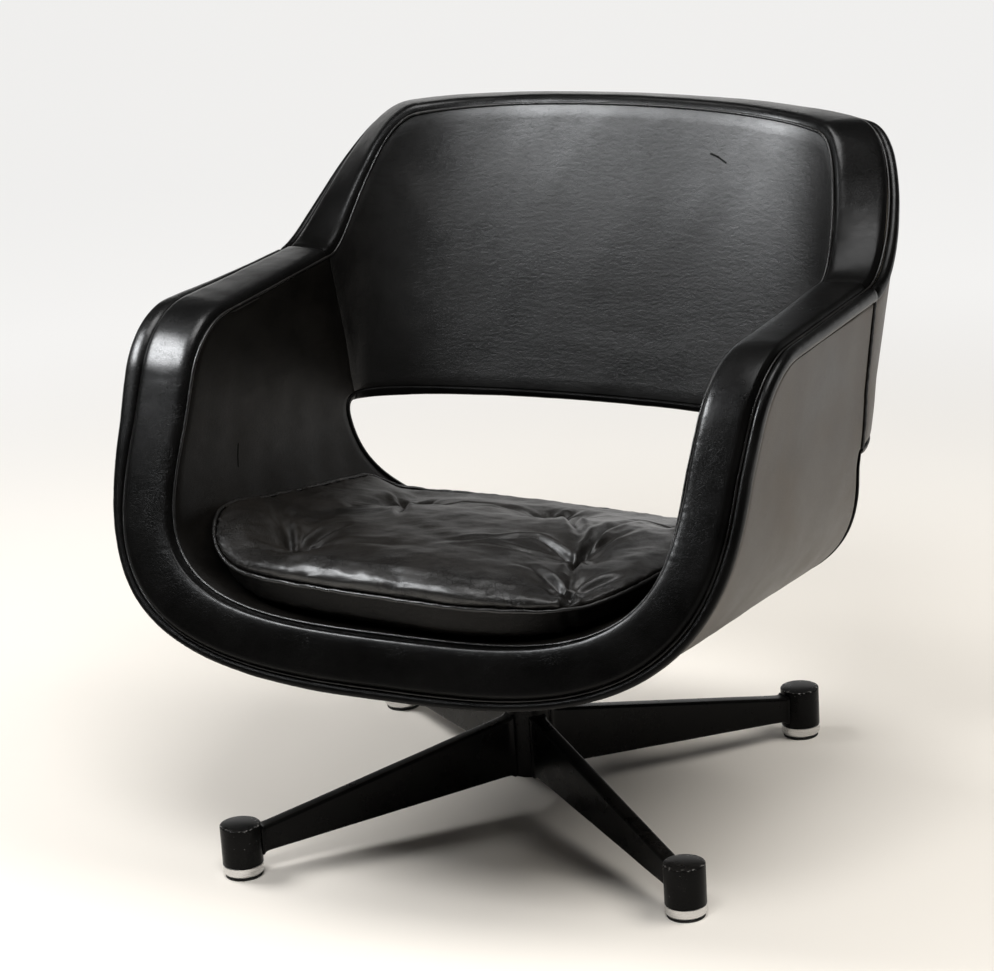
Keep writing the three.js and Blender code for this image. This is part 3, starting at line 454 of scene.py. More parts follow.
def make_mesh(name, points, faces, creases):
    """Smooth mesh of points in millimetres, sharp at edges that turn by more than creases degrees."""
    mesh = bpy.data.meshes.new(name)
    mesh.from_pydata(in_metres(np.asarray(points, float).reshape(-1, 3)).tolist(), [], faces)
    edit_mesh(mesh, outward)
    shade_smooth(mesh)
    if creases:
        mesh.set_sharp_from_angle(angle=math.radians(creases))
    return mesh


def new_object(name, data):
    made = bpy.data.objects.new(name, data)
    bpy.context.scene.collection.objects.link(made)
    return made


def piece(name, mesh, body, material, replaces=()):
    made = new_object(name, mesh)
    mesh.materials.clear()
    mesh.materials.append(material)
    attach(made, body)
    if replaces:
        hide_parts(*replaces)
    return made


def paint(mesh, name, values, shape=None):
    """Gives each vertex its value. A single value is spread over all of them."""
    layer = mesh.attributes.new(name, "FLOAT", "POINT")
    values = np.broadcast_to(np.asarray(values, float), shape or (len(mesh.vertices),))
    layer.data.foreach_set("value", values.ravel())


def ring_faces(rings, count, closed_run=False):
    faces = []
    for r in range(rings if closed_run else rings - 1):
        a, b = r * count, ((r + 1) % rings) * count
        faces += [(a + i, a + (i + 1) % count, b + (i + 1) % count, b + i) for i in range(count)]
    if not closed_run:
        faces.append(tuple(range(count - 1, -1, -1)))
        faces.append(tuple((rings - 1) * count + i for i in range(count)))
    return faces


def sheet_faces(rows, columns):
    """Faces of a closed slab made of a front grid followed by a back grid."""
    back = rows * columns
    faces = []
    for i in range(rows - 1):
        for j in range(columns - 1):
            a = i * columns + j
            faces.append((a, a + 1, a + columns + 1, a + columns))
            faces.append((back + a, back + a + columns, back + a + columns + 1, back + a + 1))
    rim = [j for j in range(columns)]
    rim += [i * columns + columns - 1 for i in range(1, rows)]
    rim += [(rows - 1) * columns + j for j in range(columns - 2, -1, -1)]
    rim += [i * columns for i in range(rows - 2, 0, -1)]
    for k, a in enumerate(rim):
        b = rim[(k + 1) % len(rim)]
        faces.append((a, back + a, back + b, b))
    return faces


def edge_distances(grid):
    """Distance of each point from the four borders of its grid, along the grid's lines."""
    down = np.linalg.norm(np.diff(grid, axis=0), axis=2)
    over = np.linalg.norm(np.diff(grid, axis=1), axis=2)
    down = np.concatenate([np.zeros((1, grid.shape[1])), np.cumsum(down, axis=0)])
    over = np.concatenate([np.zeros((grid.shape[0], 1)), np.cumsum(over, axis=1)], axis=1)
    return down, down[-1:] - down, over, over[:, -1:] - over


def outward_normals(grid, away, around=False):
    """Normals of a grid, turned so that most of them face away from the points given."""
    normal = grid_normals(grid, around)
    return -normal if (normal * (grid - away)).sum() < 0 else normal


def slab(name, grid, away, lift):
    """Cover panel: its visible face is grid, moved by lift and tucked in along its borders."""
    normal = outward_normals(grid, away)
    near = np.min(edge_distances(grid), axis=0)
    sunk = PANEL_TUCK * (1 - clamp01(near / PANEL_TUCK_WIDTH)) ** 2
    front = grid + normal * (lift - sunk)[..., None]
    back = grid - normal * (COVER + PANEL_TUCK)
    points = np.concatenate([front.reshape(-1, 3), back.reshape(-1, 3)])
    return make_mesh(name, points, sheet_faces(*grid.shape[:2]), 50)


def bucket_grid(face, rows, steps, front, gap, joint):
    half = np.array([
        [front_corner(face, row, front), rear_corner(face, row, front, gap, joint)] for row in rows
    ])
    shares = np.linspace(0, 1, steps + 1)[None, :, None]
    return both_sides(lerp(half[:, :1], half[:, 1:], shares))


def back_grid(face, columns, steps, front, gap, joint):
    grid = np.zeros((columns, steps + 1, 3))
    for i, u in enumerate(np.linspace(-1, 1, columns)):
        top = float(back_top(face, u)) - square_depth(u, front)
        for j, v in enumerate(np.linspace(0, 1, steps + 1)):
            z = lerp(float(LOW_HEIGHT[face] + gap), top, v)
            x, y = back_plan(face, z, max(1 - abs(u), joint / BACK_SIDE_LENGTH))
            grid[i, j] = (math.copysign(1, u) * x, y, z)
    return grid


# Shader nodes
class Net:
    """Adds and links the nodes of one tree."""

    def __init__(self, tree):
        self.tree = tree
        tree.nodes.clear()

    def node(self, kind, values=None, **settings):
        made = self.tree.nodes.new(kind)
        for key, value in settings.items():
            setattr(made, key, value)
        for key, value in (values or {}).items():
            self.feed(made.inputs[key], value)
        return made

    def feed(self, socket, value):
        if isinstance(value, bpy.types.NodeSocket):
            self.tree.links.new(value, socket)
        else:
            socket.default_value = value

    def math(self, operation, first, second=0.0, clamp=False):
        made = self.node("ShaderNodeMath", {0: first, 1: second}, operation=operation, use_clamp=clamp)
        return made.outputs[0]

    def times(self, first, second, clamp=False):
        return self.math("MULTIPLY", first, second, clamp)

    def plus(self, first, second, clamp=False):
        return self.math("ADD", first, second, clamp)

    def minus(self, first, second):
        return self.math("SUBTRACT", first, second)

    def spread(self, value, low, high, to_low=0.0, to_high=1.0):
        made = self.node("ShaderNodeMapRange", {
            "Value": value, "From Min": low, "From Max": high, "To Min": to_low, "To Max": to_high,
        })
        return made.outputs["Result"]

    def mix(self, factor, first, second):
        made = self.node("ShaderNodeMix", {0: factor, 6: first, 7: second}, data_type="RGBA")
        return made.outputs[2]

    def noise(self, vector, scale, detail=4.0, roughness=0.5, distortion=0.0):
        made = self.node("ShaderNodeTexNoise", {
            "Vector": vector, "Scale": scale, "Detail": detail,
            "Roughness": roughness, "Distortion": distortion,
        })
        return made.outputs["Fac"]

    def stretched(self, vector, scale):
        made = self.node("ShaderNodeMapping", {"Vector": vector, "Scale": scale})
        return made.outputs["Vector"]

    def cell_edges(self, vector, scale):
        made = self.node("ShaderNodeTexVoronoi", {"Vector": vector, "Scale": scale},
                         feature="DISTANCE_TO_EDGE")
        return made.outputs["Distance"]

    def drifted(self, vector, scale, detail, reach):
        """A place moved about by a soft noise."""
        noise = self.node("ShaderNodeTexNoise", {"Vector": vector, "Scale": scale, "Detail": detail})
        return self.node("ShaderNodeVectorMath", {
            0: noise.outputs["Color"], 1: (reach, reach, reach), 2: vector,
        }, operation="MULTIPLY_ADD").outputs[0]

    def set(self, node, **values):
        for key, value in values.items():
            self.feed(node.inputs[key.replace("_", " ")], value)

    def use(self, group, vector, **values):
        made = self.node("ShaderNodeGroup", {"Vector": vector}, node_tree=group)
        self.set(made, **values)
        return made.outputs

    def attribute(self, name):
        return self.node("ShaderNodeAttribute", attribute_name=name).outputs["Fac"]

    def dust(self, place, amount):
        normal = self.node("ShaderNodeNewGeometry").outputs["Normal"]
        return self.use(DUST, place, Normal=normal, Amount=amount)["Mask"]

    def bump(self, shader, height, strength, distance):
        made = self.node("ShaderNodeBump", {"Height": height, "Strength": strength, "Distance": distance})
        self.set(shader, Normal=made.outputs["Normal"])


def new_group(name, inputs, outputs):
    tree = bpy.data.node_groups.new(name, "ShaderNodeTree")
    net = Net(tree)
    for label, kind, start in inputs:
        made = tree.interface.new_socket(name=label, in_out="INPUT", socket_type=kind)
        if start is not None:
            made.default_value = start
    for label, kind in outputs:
        tree.interface.new_socket(name=label, in_out="OUTPUT", socket_type=kind)
    return net, net.node("NodeGroupInput").outputs, net.node("NodeGroupOutput").inputs


VECTOR, FLOAT = "NodeSocketVector", "NodeSocketFloat"


def leather_grain_group():
    net, given, out = new_group(
        "leather grain",
        [("Vector", VECTOR, None), ("Pebbles per Metre", FLOAT, 700.0), ("Creasing", FLOAT, 0.4)],
        [("Height", FLOAT)],
    )
    shifted = net.drifted(given["Vector"], 260.0, 2.0, 0.0016)
    valley = net.spread(net.cell_edges(shifted, given["Pebbles per Metre"]), 0.0, 0.22)
    fine = net.noise(given["Vector"], 1900.0, detail=3.0)
    wide = net.noise(net.stretched(given["Vector"], (1.0, 1.0, 2.4)), 95.0, detail=6.0, distortion=0.6)
    creasing = net.spread(wide, 0.35, 0.65)
    body = net.plus(net.times(valley, 0.55), net.times(fine, 0.3))
    folds = net.times(creasing, given["Creasing"])
    net.feed(out["Height"], net.plus(body, folds))
    return net.tree


def mottle_group():
    net, given, out = new_group(
        "mottled tone",
        [("Vector", VECTOR, None), ("Patches per Metre", FLOAT, 16.0)],
        [("Mask", FLOAT)],
    )
    large = net.noise(given["Vector"], given["Patches per Metre"], detail=6.0, roughness=0.6, distortion=0.3)
    net.feed(out["Mask"], net.spread(large, 0.3, 0.7))
    return net.tree


def crackle_group():
    net, given, out = new_group(
        "crackle",
        [("Vector", VECTOR, None), ("Cells per Metre", FLOAT, 190.0), ("Amount", FLOAT, 0.0)],
        [("Height", FLOAT), ("Mask", FLOAT)],
    )
    bent = net.drifted(given["Vector"], 60.0, 4.0, 0.012)
    cells = net.cell_edges(bent, given["Cells per Metre"])
    small = net.cell_edges(bent, net.times(given["Cells per Metre"], 2.7))
    line = net.spread(cells, 0.0, 0.09, 1.0, 0.0)
    thin = net.times(net.spread(small, 0.0, 0.1, 1.0, 0.0), 0.45)
    patchy = net.spread(net.noise(given["Vector"], 24.0, detail=3.0), 0.38, 0.62)
    both = net.math("MAXIMUM", line, thin)
    mask = net.times(net.times(both, patchy), given["Amount"], clamp=True)
    net.feed(out["Mask"], mask)
    net.feed(out["Height"], net.minus(1.0, mask))
    return net.tree


def rubbed_group():
    net, given, out = new_group(
        "rubbed edges",
        [("Vector", VECTOR, None), ("Wear", FLOAT, 0.0), ("Spots per Metre", FLOAT, 120.0)],
        [("Mask", FLOAT)],
    )
    spots = net.noise(given["Vector"], given["Spots per Metre"], detail=8.0, roughness=0.65)
    level = net.plus(given["Wear"], net.times(net.minus(spots, 0.5), 1.6))
    net.feed(out["Mask"], net.spread(level, 0.62, 0.9))
    return net.tree


def scratch_group():
    net, given, out = new_group(
        "hairline scratches",
        [("Vector", VECTOR, None), ("Amount", FLOAT, 0.5)],
        [("Mask", FLOAT)],
    )
    first = net.noise(net.stretched(given["Vector"], (14.0, 260.0, 40.0)), 5.0, detail=3.0)
    second = net.noise(net.stretched(given["Vector"], (230.0, 20.0, 60.0)), 5.0, detail=3.0)
    lines = net.math("MAXIMUM", net.spread(first, 0.66, 0.72), net.spread(second, 0.67, 0.73))
    net.feed(out["Mask"], net.times(lines, given["Amount"], clamp=True))
    return net.tree


def dust_group():
    net, given, out = new_group(
        "settled dust",
        [("Vector", VECTOR, None), ("Normal", VECTOR, None), ("Amount", FLOAT, 0.2)],
        [("Mask", FLOAT)],
    )
    up = net.node("ShaderNodeSeparateXYZ", {0: given["Normal"]}).outputs["Z"]
    level = net.spread(up, 0.2, 1.0)
    cloud = net.spread(net.noise(given["Vector"], 40.0, detail=7.0, roughness=0.7), 0.35, 0.75)
    specks = net.spread(net.noise(given["Vector"], 900.0, detail=2.0), 0.62, 0.75)
    film = net.times(level, net.math("MAXIMUM", cloud, specks))
    net.feed(out["Mask"], net.times(film, given["Amount"], clamp=True))
    return net.tree


def mark_group():
    """A short straight mark between two points."""
    net, given, out = new_group(
        "single mark",
        [("Vector", VECTOR, None), ("Start", VECTOR, None), ("End", VECTOR, None), ("Width", FLOAT, 0.001)],
        [("Mask", FLOAT)],
    )

    def vectors(operation, first, second, result="Vector"):
        made = net.node("ShaderNodeVectorMath", {0: first, 1: second}, operation=operation)
        return made.outputs[result]

    reach = vectors("SUBTRACT", given["Vector"], given["Start"])
    step = vectors("SUBTRACT", given["End"], given["Start"])
    along = net.math("DIVIDE", vectors("DOT_PRODUCT", reach, step, "Value"),
                     vectors("DOT_PRODUCT", step, step, "Value"), clamp=True)
    nearest = net.node("ShaderNodeVectorMath", {0: step, 3: along}, operation="SCALE").outputs["Vector"]
    away = vectors("DISTANCE", reach, nearest, "Value")
    share = net.math("DIVIDE", away, given["Width"])
    net.feed(out["Mask"], net.spread(share, 0.4, 1.0, 1.0, 0.0))
    return net.tree


MARK = mark_group()
GRAIN, MOTTLE, CRACKLE = leather_grain_group(), mottle_group(), crackle_group()
RUBBED, SCRATCHES, DUST = rubbed_group(), scratch_group(), dust_group()


def start_material(name, **fixed):
    material = bpy.data.materials.new(name)
    material.use_nodes = True
    net = Net(material.node_tree)
    shader = net.node("ShaderNodeBsdfPrincipled")
    for key, value in fixed.items():
        shader.inputs[key.replace("_", " ")].default_value = value
    net.node("ShaderNodeOutputMaterial", {"Surface": shader.outputs["BSDF"]})
    place = net.node("ShaderNodeTexCoord").outputs["Object"]
    return material, net, shader, place


def grey(value, warmth=0.0):
    return (value * (1 + warmth), value, value * (1 - warmth), 1.0)


def leather(name, tone, worn, roughness, gloss, relief, creasing, pebbles=620.0, patches=14.0, dust=0.1,
            warmth=0.03, crack_cells=190.0, fold=1.0, polish_rough=0.26, marks=()):
    variation, spread = 0.5, 0.08
    material, net, shader, place = start_material(name, Specular_IOR_Level=gloss, Coat_Roughness=polish_rough)
    grain = net.use(GRAIN, place, Pebbles_per_Metre=pebbles, Creasing=creasing)["Height"]
    mottle = net.use(MOTTLE, place, Patches_per_Metre=patches)["Mask"]
    crackle = net.use(CRACKLE, place, Cells_per_Metre=crack_cells, Amount=net.attribute("crackle"))
    rubbed = net.use(RUBBED, place, Wear=net.attribute("wear"))["Mask"]
    dusty = net.dust(place, dust)
    scratched = net.use(SCRATCHES, place, Amount=0.35)["Mask"]
    shine = net.times(net.attribute("polish"), net.spread(grain, 0.25, 0.85, 0.55, 1.0))
    shine = net.times(shine, net.minus(1.0, net.times(crackle["Mask"], 0.9)))
    color = net.mix(mottle, grey(tone * (1 - variation), warmth), grey(tone * (1 + variation), warmth))
    color = net.mix(rubbed, color, grey(worn, warmth * 2))
    color = net.mix(dusty, color, grey(0.1, 0.1))
    color = net.mix(crackle["Mask"], color, grey(tone * 0.5, warmth))
    rough = net.spread(mottle, 0.0, 1.0, roughness - spread, roughness + spread)
    rough = net.plus(rough, net.times(rubbed, 0.1))
    rough = net.plus(rough, net.times(dusty, 0.35))
    rough = net.plus(rough, net.times(scratched, 0.12), clamp=True)
    height = net.plus(grain, net.times(crackle["Height"], 2.2 * fold))
    height = net.minus(height, net.times(scratched, 0.15))
    for first, last, width in marks:
        mark = net.use(MARK, place, Start=first, End=last, Width=width)["Mask"]
        height = net.minus(height, net.times(mark, 3.0))
        shine = net.times(shine, net.minus(1.0, mark))
        color = net.mix(mark, color, grey(0.0))
        rough = net.plus(rough, net.times(mark, 0.5), clamp=True)
    net.set(shader, Base_Color=color, Roughness=rough, Coat_Weight=shine)
    net.bump(shader, height, 1.0, relief)
    return material


def painted_steel(name, tone, roughness):
    material, net, shader, place = start_material(name, Specular_IOR_Level=0.1)
    mottle = net.use(MOTTLE, place, Patches_per_Metre=30.0)["Mask"]
    chipped = net.use(RUBBED, place, Wear=net.attribute("wear"), Spots_per_Metre=210.0)["Mask"]
    dusty = net.dust(place, 0.1)
    scratched = net.use(SCRATCHES, place, Amount=0.4)["Mask"]
    color = net.mix(mottle, grey(tone * 0.8), grey(tone * 1.3))
    color = net.mix(dusty, color, grey(0.12, 0.05))
    color = net.mix(chipped, color, grey(0.55, 0.02))
    rough = net.spread(mottle, 0.0, 1.0, roughness - 0.06, roughness + 0.08)
    rough = net.plus(rough, net.times(net.plus(dusty, scratched), 0.2), clamp=True)
    net.set(shader, Base_Color=color, Metallic=net.times(chipped, 0.9), Roughness=rough)
    peel = net.noise(place, 420.0, detail=3.0)
    net.bump(shader, net.minus(net.times(peel, 0.4), chipped), 0.6, 0.00012)
    return material


def brushed_steel(name, tone, roughness, grime=0.25):
    material, net, shader, place = start_material(name)
    lines = net.noise(net.stretched(place, (3.0, 3.0, 260.0)), 8.0, detail=5.0)
    grimy = net.use(RUBBED, place, Wear=grime, Spots_per_Metre=160.0)["Mask"]
    scratched = net.use(SCRATCHES, place, Amount=0.6)["Mask"]
    color = net.mix(lines, grey(tone * 0.82, 0.02), grey(tone * 1.08, 0.01))
    color = net.mix(grimy, color, grey(0.16, 0.08))
    rough = net.spread(lines, 0.3, 0.7, roughness - 0.08, roughness + 0.1)
    rough = net.plus(rough, net.times(scratched, 0.2))
    net.set(shader, Base_Color=color, Metallic=net.spread(grimy, 0.0, 1.0, 1.0, 0.4), Roughness=rough)
    net.bump(shader, lines, 0.35, 0.0001)
    return material


def plain_stuff(name, low, high, roughness, grain_scale, relief):
    """Foam, moulded shell, plastic and felt: a mottled colour over a fine uneven surface."""
    material, net, shader, place = start_material(name)
    mottle = net.use(MOTTLE, place, Patches_per_Metre=22.0)["Mask"]
    cells = net.node("ShaderNodeTexVoronoi", {"Vector": place, "Scale": grain_scale})
    fine = net.noise(place, grain_scale * 1.7, detail=4.0)
    rough = net.spread(fine, 0.2, 0.8, roughness - 0.1, roughness + 0.08)
    net.set(shader, Base_Color=net.mix(mottle, low, high), Roughness=rough)
    net.bump(shader, net.plus(cells.outputs["Distance"], fine), 0.7, relief)
    return material


# Marks left by use: two end points and a width, in metres
BACK_MARKS = (
    ((0.1093, 0.2601, 0.6597), (0.118, 0.2588, 0.657), 0.0015),
    ((0.118, 0.2588, 0.657), (0.1282, 0.2565, 0.6514), 0.0014),
)
PANEL_MARKS = (
    ((-0.2837, -0.1257, 0.4098), (-0.2811, -0.1334, 0.3877), 0.0015),
)

RIM_LEATHER = leather("rim leather", 0.002, 0.012, 0.34, gloss=0.08, creasing=0.3, dust=0.0,
                      relief=0.00012, fold=2.4)
BACK_LEATHER = leather("back panel leather", 0.005, 0.02, 0.4, gloss=0.5, creasing=0.9, dust=0.0,
                       relief=0.00014, polish_rough=0.34, marks=BACK_MARKS)
PANEL_LEATHER = leather("inner panel leather", 0.003, 0.02, 0.42, gloss=0.12, creasing=0.4, dust=0.02,
                        warmth=0.12, relief=0.00012, marks=PANEL_MARKS)
# The outer panels' tone is painted sheen: lighter and warmer than the other black leathers, it stands in for
# the warm floor's reflection on the panels' sides.
SIDE_LEATHER_PAINTED_SHEEN = leather("outer panel leather with painted sheen", 0.038, 0.08, 0.42, gloss=0.55, creasing=0.4, dust=0.06,
                       patches=9.0, warmth=0.22, relief=0.00014)
CUSHION_LEATHER = leather("cushion leather", 0.005, 0.04, 0.4, gloss=0.16, creasing=0.6, dust=0.05,
                          relief=0.0003, crack_cells=150.0, warmth=0.14, fold=1.6, polish_rough=0.36)
WELT_LEATHER = leather("welt leather", 0.005, 0.07, 0.3, gloss=0.6, creasing=0.5, pebbles=900.0,
                       relief=0.00008)
THREAD = plain_stuff("seam thread", grey(0.05, 0.05), grey(0.12, 0.08), 0.5, 1600.0, 0.0001)
BLACK_PAINT = painted_steel("black satin paint", 0.0015, 0.28)
BRIGHT_STEEL = brushed_steel("brushed steel", 0.72, 0.26)
ZINC = brushed_steel("zinc plated steel", 0.45, 0.38, grime=0.4)
FOAM = plain_stuff("latex foam", (0.42, 0.36, 0.2, 1), (0.55, 0.48, 0.3, 1), 0.9, 500.0, 0.0006)
MOULDED = plain_stuff("glass fibre shell", (0.12, 0.1, 0.08, 1), (0.2, 0.18, 0.14, 1), 0.6, 160.0, 0.0003)
PLASTIC = plain_stuff("bearing plastic", (0.6, 0.57, 0.48, 1), (0.7, 0.68, 0.6, 1), 0.45, 700.0, 0.0001)
PAD = plain_stuff("foot pad", grey(0.01), grey(0.02), 0.85, 900.0, 0.0003)


# Rim of the shell
BAND_END = -(SEAM_INSET + 1.9)
BAND_SECTION = rounded([
    (1, BAND_END + 0.4, 13),
    (1, BAND_END + 0.3, 3.0),
    (1, BAND_END - 0.4, -1.4),
    (1, BAND_END - 3.4, -4.6),
    (0.74, 0, -6.0),
    (0.6, 0, -6.4),
    (0.45, 0, -6.5),
    (0.3, 0, -6.3),
    (0, 9, -5.6),
    (0, 4.4, -3.0),
    (0, 2.4, 3.0),
    (0, 3.0, 6.0),
    (0, 4.2, 9.0),
    (0, 4.2, 13),
    (0.5, 0, 13),
])
BORDER_SECTION = rounded([
    (1, -0.4, 13.2),
    (1, 1.2, 12.2),
    (1, 2.6, 9.5),
    (1, 2.6, 6),
    (1, 1.4, 1.6),
    (1, -1.8, -1.2),
    (1, -5, -1.6),
    (1, -7.4, -0.2),
    (1, -8.4, 2.6),
    (1, -8.6, 6),
    (1, -8.4, 13),
])
EDGE_SECTION = rounded([
    (1, 0.2, 9),
    (1, 0.6, 5),
    (1, -2.5, -0.5),
    (0.75, 0, -3.4),
    (0.5, 0, -4.2),
    (0.25, 0, -3.4),
    (0, 2.5, -0.5),
    (0, -0.6, 5),
    (0, -0.2, 9),
    (0.5, 0, 9),
])


def round_section(share, offset, depth, radius):
    return np.array([
        (share, offset + radius * math.cos(t), depth + radius * math.sin(t)) for t in full_turn(10)
    ])


def left_bulge(points):
    """The padding of the left arm's border stands out most at the arm's front corner."""
    x, y, z = points[..., 0], points[..., 1], points[..., 2]
    high = smooth((z - 330) / 190)
    along = 1 - smooth((y + 120) / 200)
    return LEFT_BULGE * high * along * (x < 0)


FOLD_WAVE = Ripple(70, 11)
SOFT_WAVE = Ripple(26, 12)
SMALL_WAVE = Ripple(11, 13)
BROAD_WAVE = Ripple(150, 14)


def pad_noise(points, broad, fold, soft, small):
    return (broad * BROAD_WAVE(points) + fold * FOLD_WAVE(points)
            + soft * SOFT_WAVE(points) + small * SMALL_WAVE(points))


def furrows(grid, marks):
    """Depth of drawn-in creases. A mark is two end points, a width and a depth."""
    sunk = np.zeros(grid.shape[:2])
    for first, last, width, depth in marks:
        first, last = np.array(first, float), np.array(last, float)
        step = last - first
        share = clamp01(((grid - first) @ step) / (step @ step))
        gap = np.linalg.norm(grid - (first + share[..., None] * step), axis=2)
        fade = np.sin(np.pi * np.clip(share, 0.08, 0.92)) ** 0.5
        sunk += depth * fade * (bell(gap, width) - 0.3 * bell(gap - 2.2 * width, width))
    return sunk


def end_tuck(at, depth):
    return depth * bell(np.minimum(at, at[-1] - at), 3.0)


def low_crest(grid, section):
    """Along the front of the seat the padding stands highest beside the inner seam."""
    low = 1 - smooth((grid[..., 2] - 330) / 120)
    reach = np.clip(section[:, 0] * WALL + section[:, 1], 0, WALL)
    return CREST * low * (smooth((reach - 2) / 5) * (1 - reach / (WALL - SEAM_INSET)).clip(0, 1))[None, :]


def rim_piece(name, run, section, noise, node, material=RIM_LEATHER, creases=(), bulge=None, tuck=1.6,
              crest=False, **painted):
    """A piece of the rim. What is painted is a number, or worked out from the grid and the section."""
    grid = swept(run, section)
    normal = outward_normals(grid, grid.mean(axis=1, keepdims=True), around=True)
    shown = clamp01((9 - section[:, 2]) / 6)[None, :]
    lift = pad_noise(grid, **noise) * shown - end_tuck(run["at"], tuck)[:, None] * shown
    if creases:
        lift = lift - furrows(grid, creases) * shown
    if crest:
        lift = lift + low_crest(grid, section) * shown
    grid = grid + normal * lift[..., None]
    if bulge:
        across = run["outer"] - run["inner"]
        across /= np.linalg.norm(across, axis=1, keepdims=True)
        out = left_bulge((run["inner"] + run["outer"]) / 2)[:, None] * bulge(section)[None, :]
        grid = grid + across[:, None] * out[..., None]
    made = make_mesh(name, grid, ring_faces(*grid.shape[:2]), 55)
    for label, value in painted.items():
        paint(made, label, value(grid, section) if callable(value) else value, grid.shape[:2])
    piece(name, made, "seat", material, (node,))


def band_crackle(grid, section):
    """Cracks gather on the inner edge of the band where the arm fronts bend."""
    z = grid[..., 2]
    share = section[:, 0] + section[:, 1] / WALL
    inner = clamp01((0.42 - share) / 0.25)[None, :]
    arm = bell(z - 430, 80)
    low = 0.25 * bell(z - 260, 50)
    return clamp01(inner * (arm + low) + 0.12)


def band_wear(grid, section):
    z = grid[..., 2]
    crest = clamp01((-section[:, 2] - 2) / 5)[None, :]
    return clamp01(0.12 + 0.22 * crest * bell(z - 470, 90))


def border_wear(grid, section):
    corner = bell(section[:, 2] - 1, 4)[None, :]
    return clamp01(0.12 + 0.3 * corner)


def reach_in(section):
    """Distance of the section's points from the inner corner of the rim."""
    return (section[:, 0] * WALL + section[:, 1])[None, :]


def arm_polish(grid, section):
    """Hands have polished the fronts and tops of the arms, and knees the edge beside the seat."""
    x, z = grid[..., 0], grid[..., 2]
    high = smooth((z - 385) / 110)
    inner = 1 - smooth((reach_in(section) - 10) / 14)
    left = 0.9 * high
    right = (0.16 + 0.6 * inner) * smooth((z - 350) / 60)
    low = 0.55 * inner * (1 - smooth((z - 300) / 90))
    return clamp01(np.where(x < 0, left, right) + low)


def border_polish(grid, section):
    high = smooth((grid[..., 2] - 385) / 110)
    return clamp01(high * np.where(grid[..., 0] < 0, 0.9, 0.6))


def top_polish(grid, section):
    return 0.8 * smooth((grid[..., 2] - 540) / 120)


def scattered_creases(run, count, seed, share_range, length, width, depth, low=-1e9, high=1e9):
    """Short creases that run in from the inner edge of the rim, at uneven spacing."""
    rng = np.random.default_rng(seed)
    marks = []
    keep = [i for i in range(len(run["at"])) if low < run["inner"][i][2] < high]
    for i in rng.choice(keep, count):
        across = run["outer"][i] - run["inner"][i]
        along = run["inner"][min(i + 1, len(run["at"]) - 1)] - run["inner"][max(i - 1, 0)]
        along /= max(np.linalg.norm(along), 1e-6)
        start = rng.uniform(*share_range)
        reach = rng.uniform(*length) / WALL
        slant = rng.uniform(-4, 4)
        first = run["inner"][i] + across * start
        last = run["inner"][i] + across * (start + reach) + along * slant
        rise = -run["inner_drop"][i] * 6
        marks.append((first + rise, last + rise, rng.uniform(*width), rng.uniform(*depth)))
    return marks


FRONT_CREASES = scattered_creases(
    FRONT_RUN, 60, 21, (0.02, 0.1), (8, 18), (1.2, 2.0), (0.05, 0.16), low=340, high=520,
) + scattered_creases(FRONT_RUN, 20, 22, (0.02, 0.6), (6, 26), (1.6, 3.0), (0.04, 0.12))
BACK_CREASES = scattered_creases(BACK_RUN, 26, 23, (0.02, 0.6), (6, 26), (1.6, 3.0), (0.04, 0.14))


def border_bulge(section):
    return clamp01((section[:, 0] + section[:, 1] / WALL - 0.86) / 0.12)


def band_bulge(section):
    return clamp01((section[:, 0] + section[:, 1] / WALL - 0.3) / 0.7) ** 2 * 0.55


RIM_NOISE = {"broad": 0.4, "fold": 0.16, "soft": 0.07, "small": 0.02}
BORDER_NOISE = {"broad": 0.2, "fold": 0.15, "soft": 0.08, "small": 0.04}
WELT_NOISE = {"broad": 0.08, "fold": 0.08, "soft": 0.06, "small": 0.08}
rim_piece("front_rim_padding", FRONT_RUN, BAND_SECTION, RIM_NOISE, "front_rim_band",
          creases=FRONT_CREASES, bulge=band_bulge, crest=True,
          crackle=band_crackle, wear=band_wear, polish=arm_polish)
rim_piece("front_rim_piping_edge", FRONT_RUN, BORDER_SECTION, BORDER_NOISE, "front_rim_border",
          bulge=border_bulge, crackle=0.25, wear=border_wear, polish=border_polish)
rim_piece("back_rim_padding", BACK_RUN, BAND_SECTION, RIM_NOISE, "back_rim_band",
          creases=BACK_CREASES, crackle=0.15, wear=0.18, polish=top_polish)
rim_piece("back_rim_piping_edge", BACK_RUN, BORDER_SECTION, BORDER_NOISE, "back_rim_border",
          crackle=0.2, wear=border_wear, polish=top_polish)
for place, run, bulge in (("front", FRONT_RUN, border_bulge), ("back", BACK_RUN, None)):
    for seam, section, swell in (
        ("inner", round_section(0, 1.0, 3.6, 1.5), None),
        ("outer", round_section(1, -SEAM_INSET - 0.1, 0.6, 1.35), bulge),
    ):
        rim_piece(f"{place}_{seam}_seam_piping", run, section, WELT_NOISE, f"{place}_{seam}_welt",
                  WELT_LEATHER, bulge=swell, tuck=0, crackle=0.3, wear=0.45)

# Stitches: pitch, length and radius, and their thickness at shares of their length
STITCH_PITCH = 4.2
STITCH_LENGTH = 3.2
STITCH_RADIUS = 0.42
STITCH_SIDES = 6
STITCH_COURSE = ((0, 0.25), (0.12, 0.8), (0.5, 1.0), (0.88, 0.8), (1.0, 0.25))


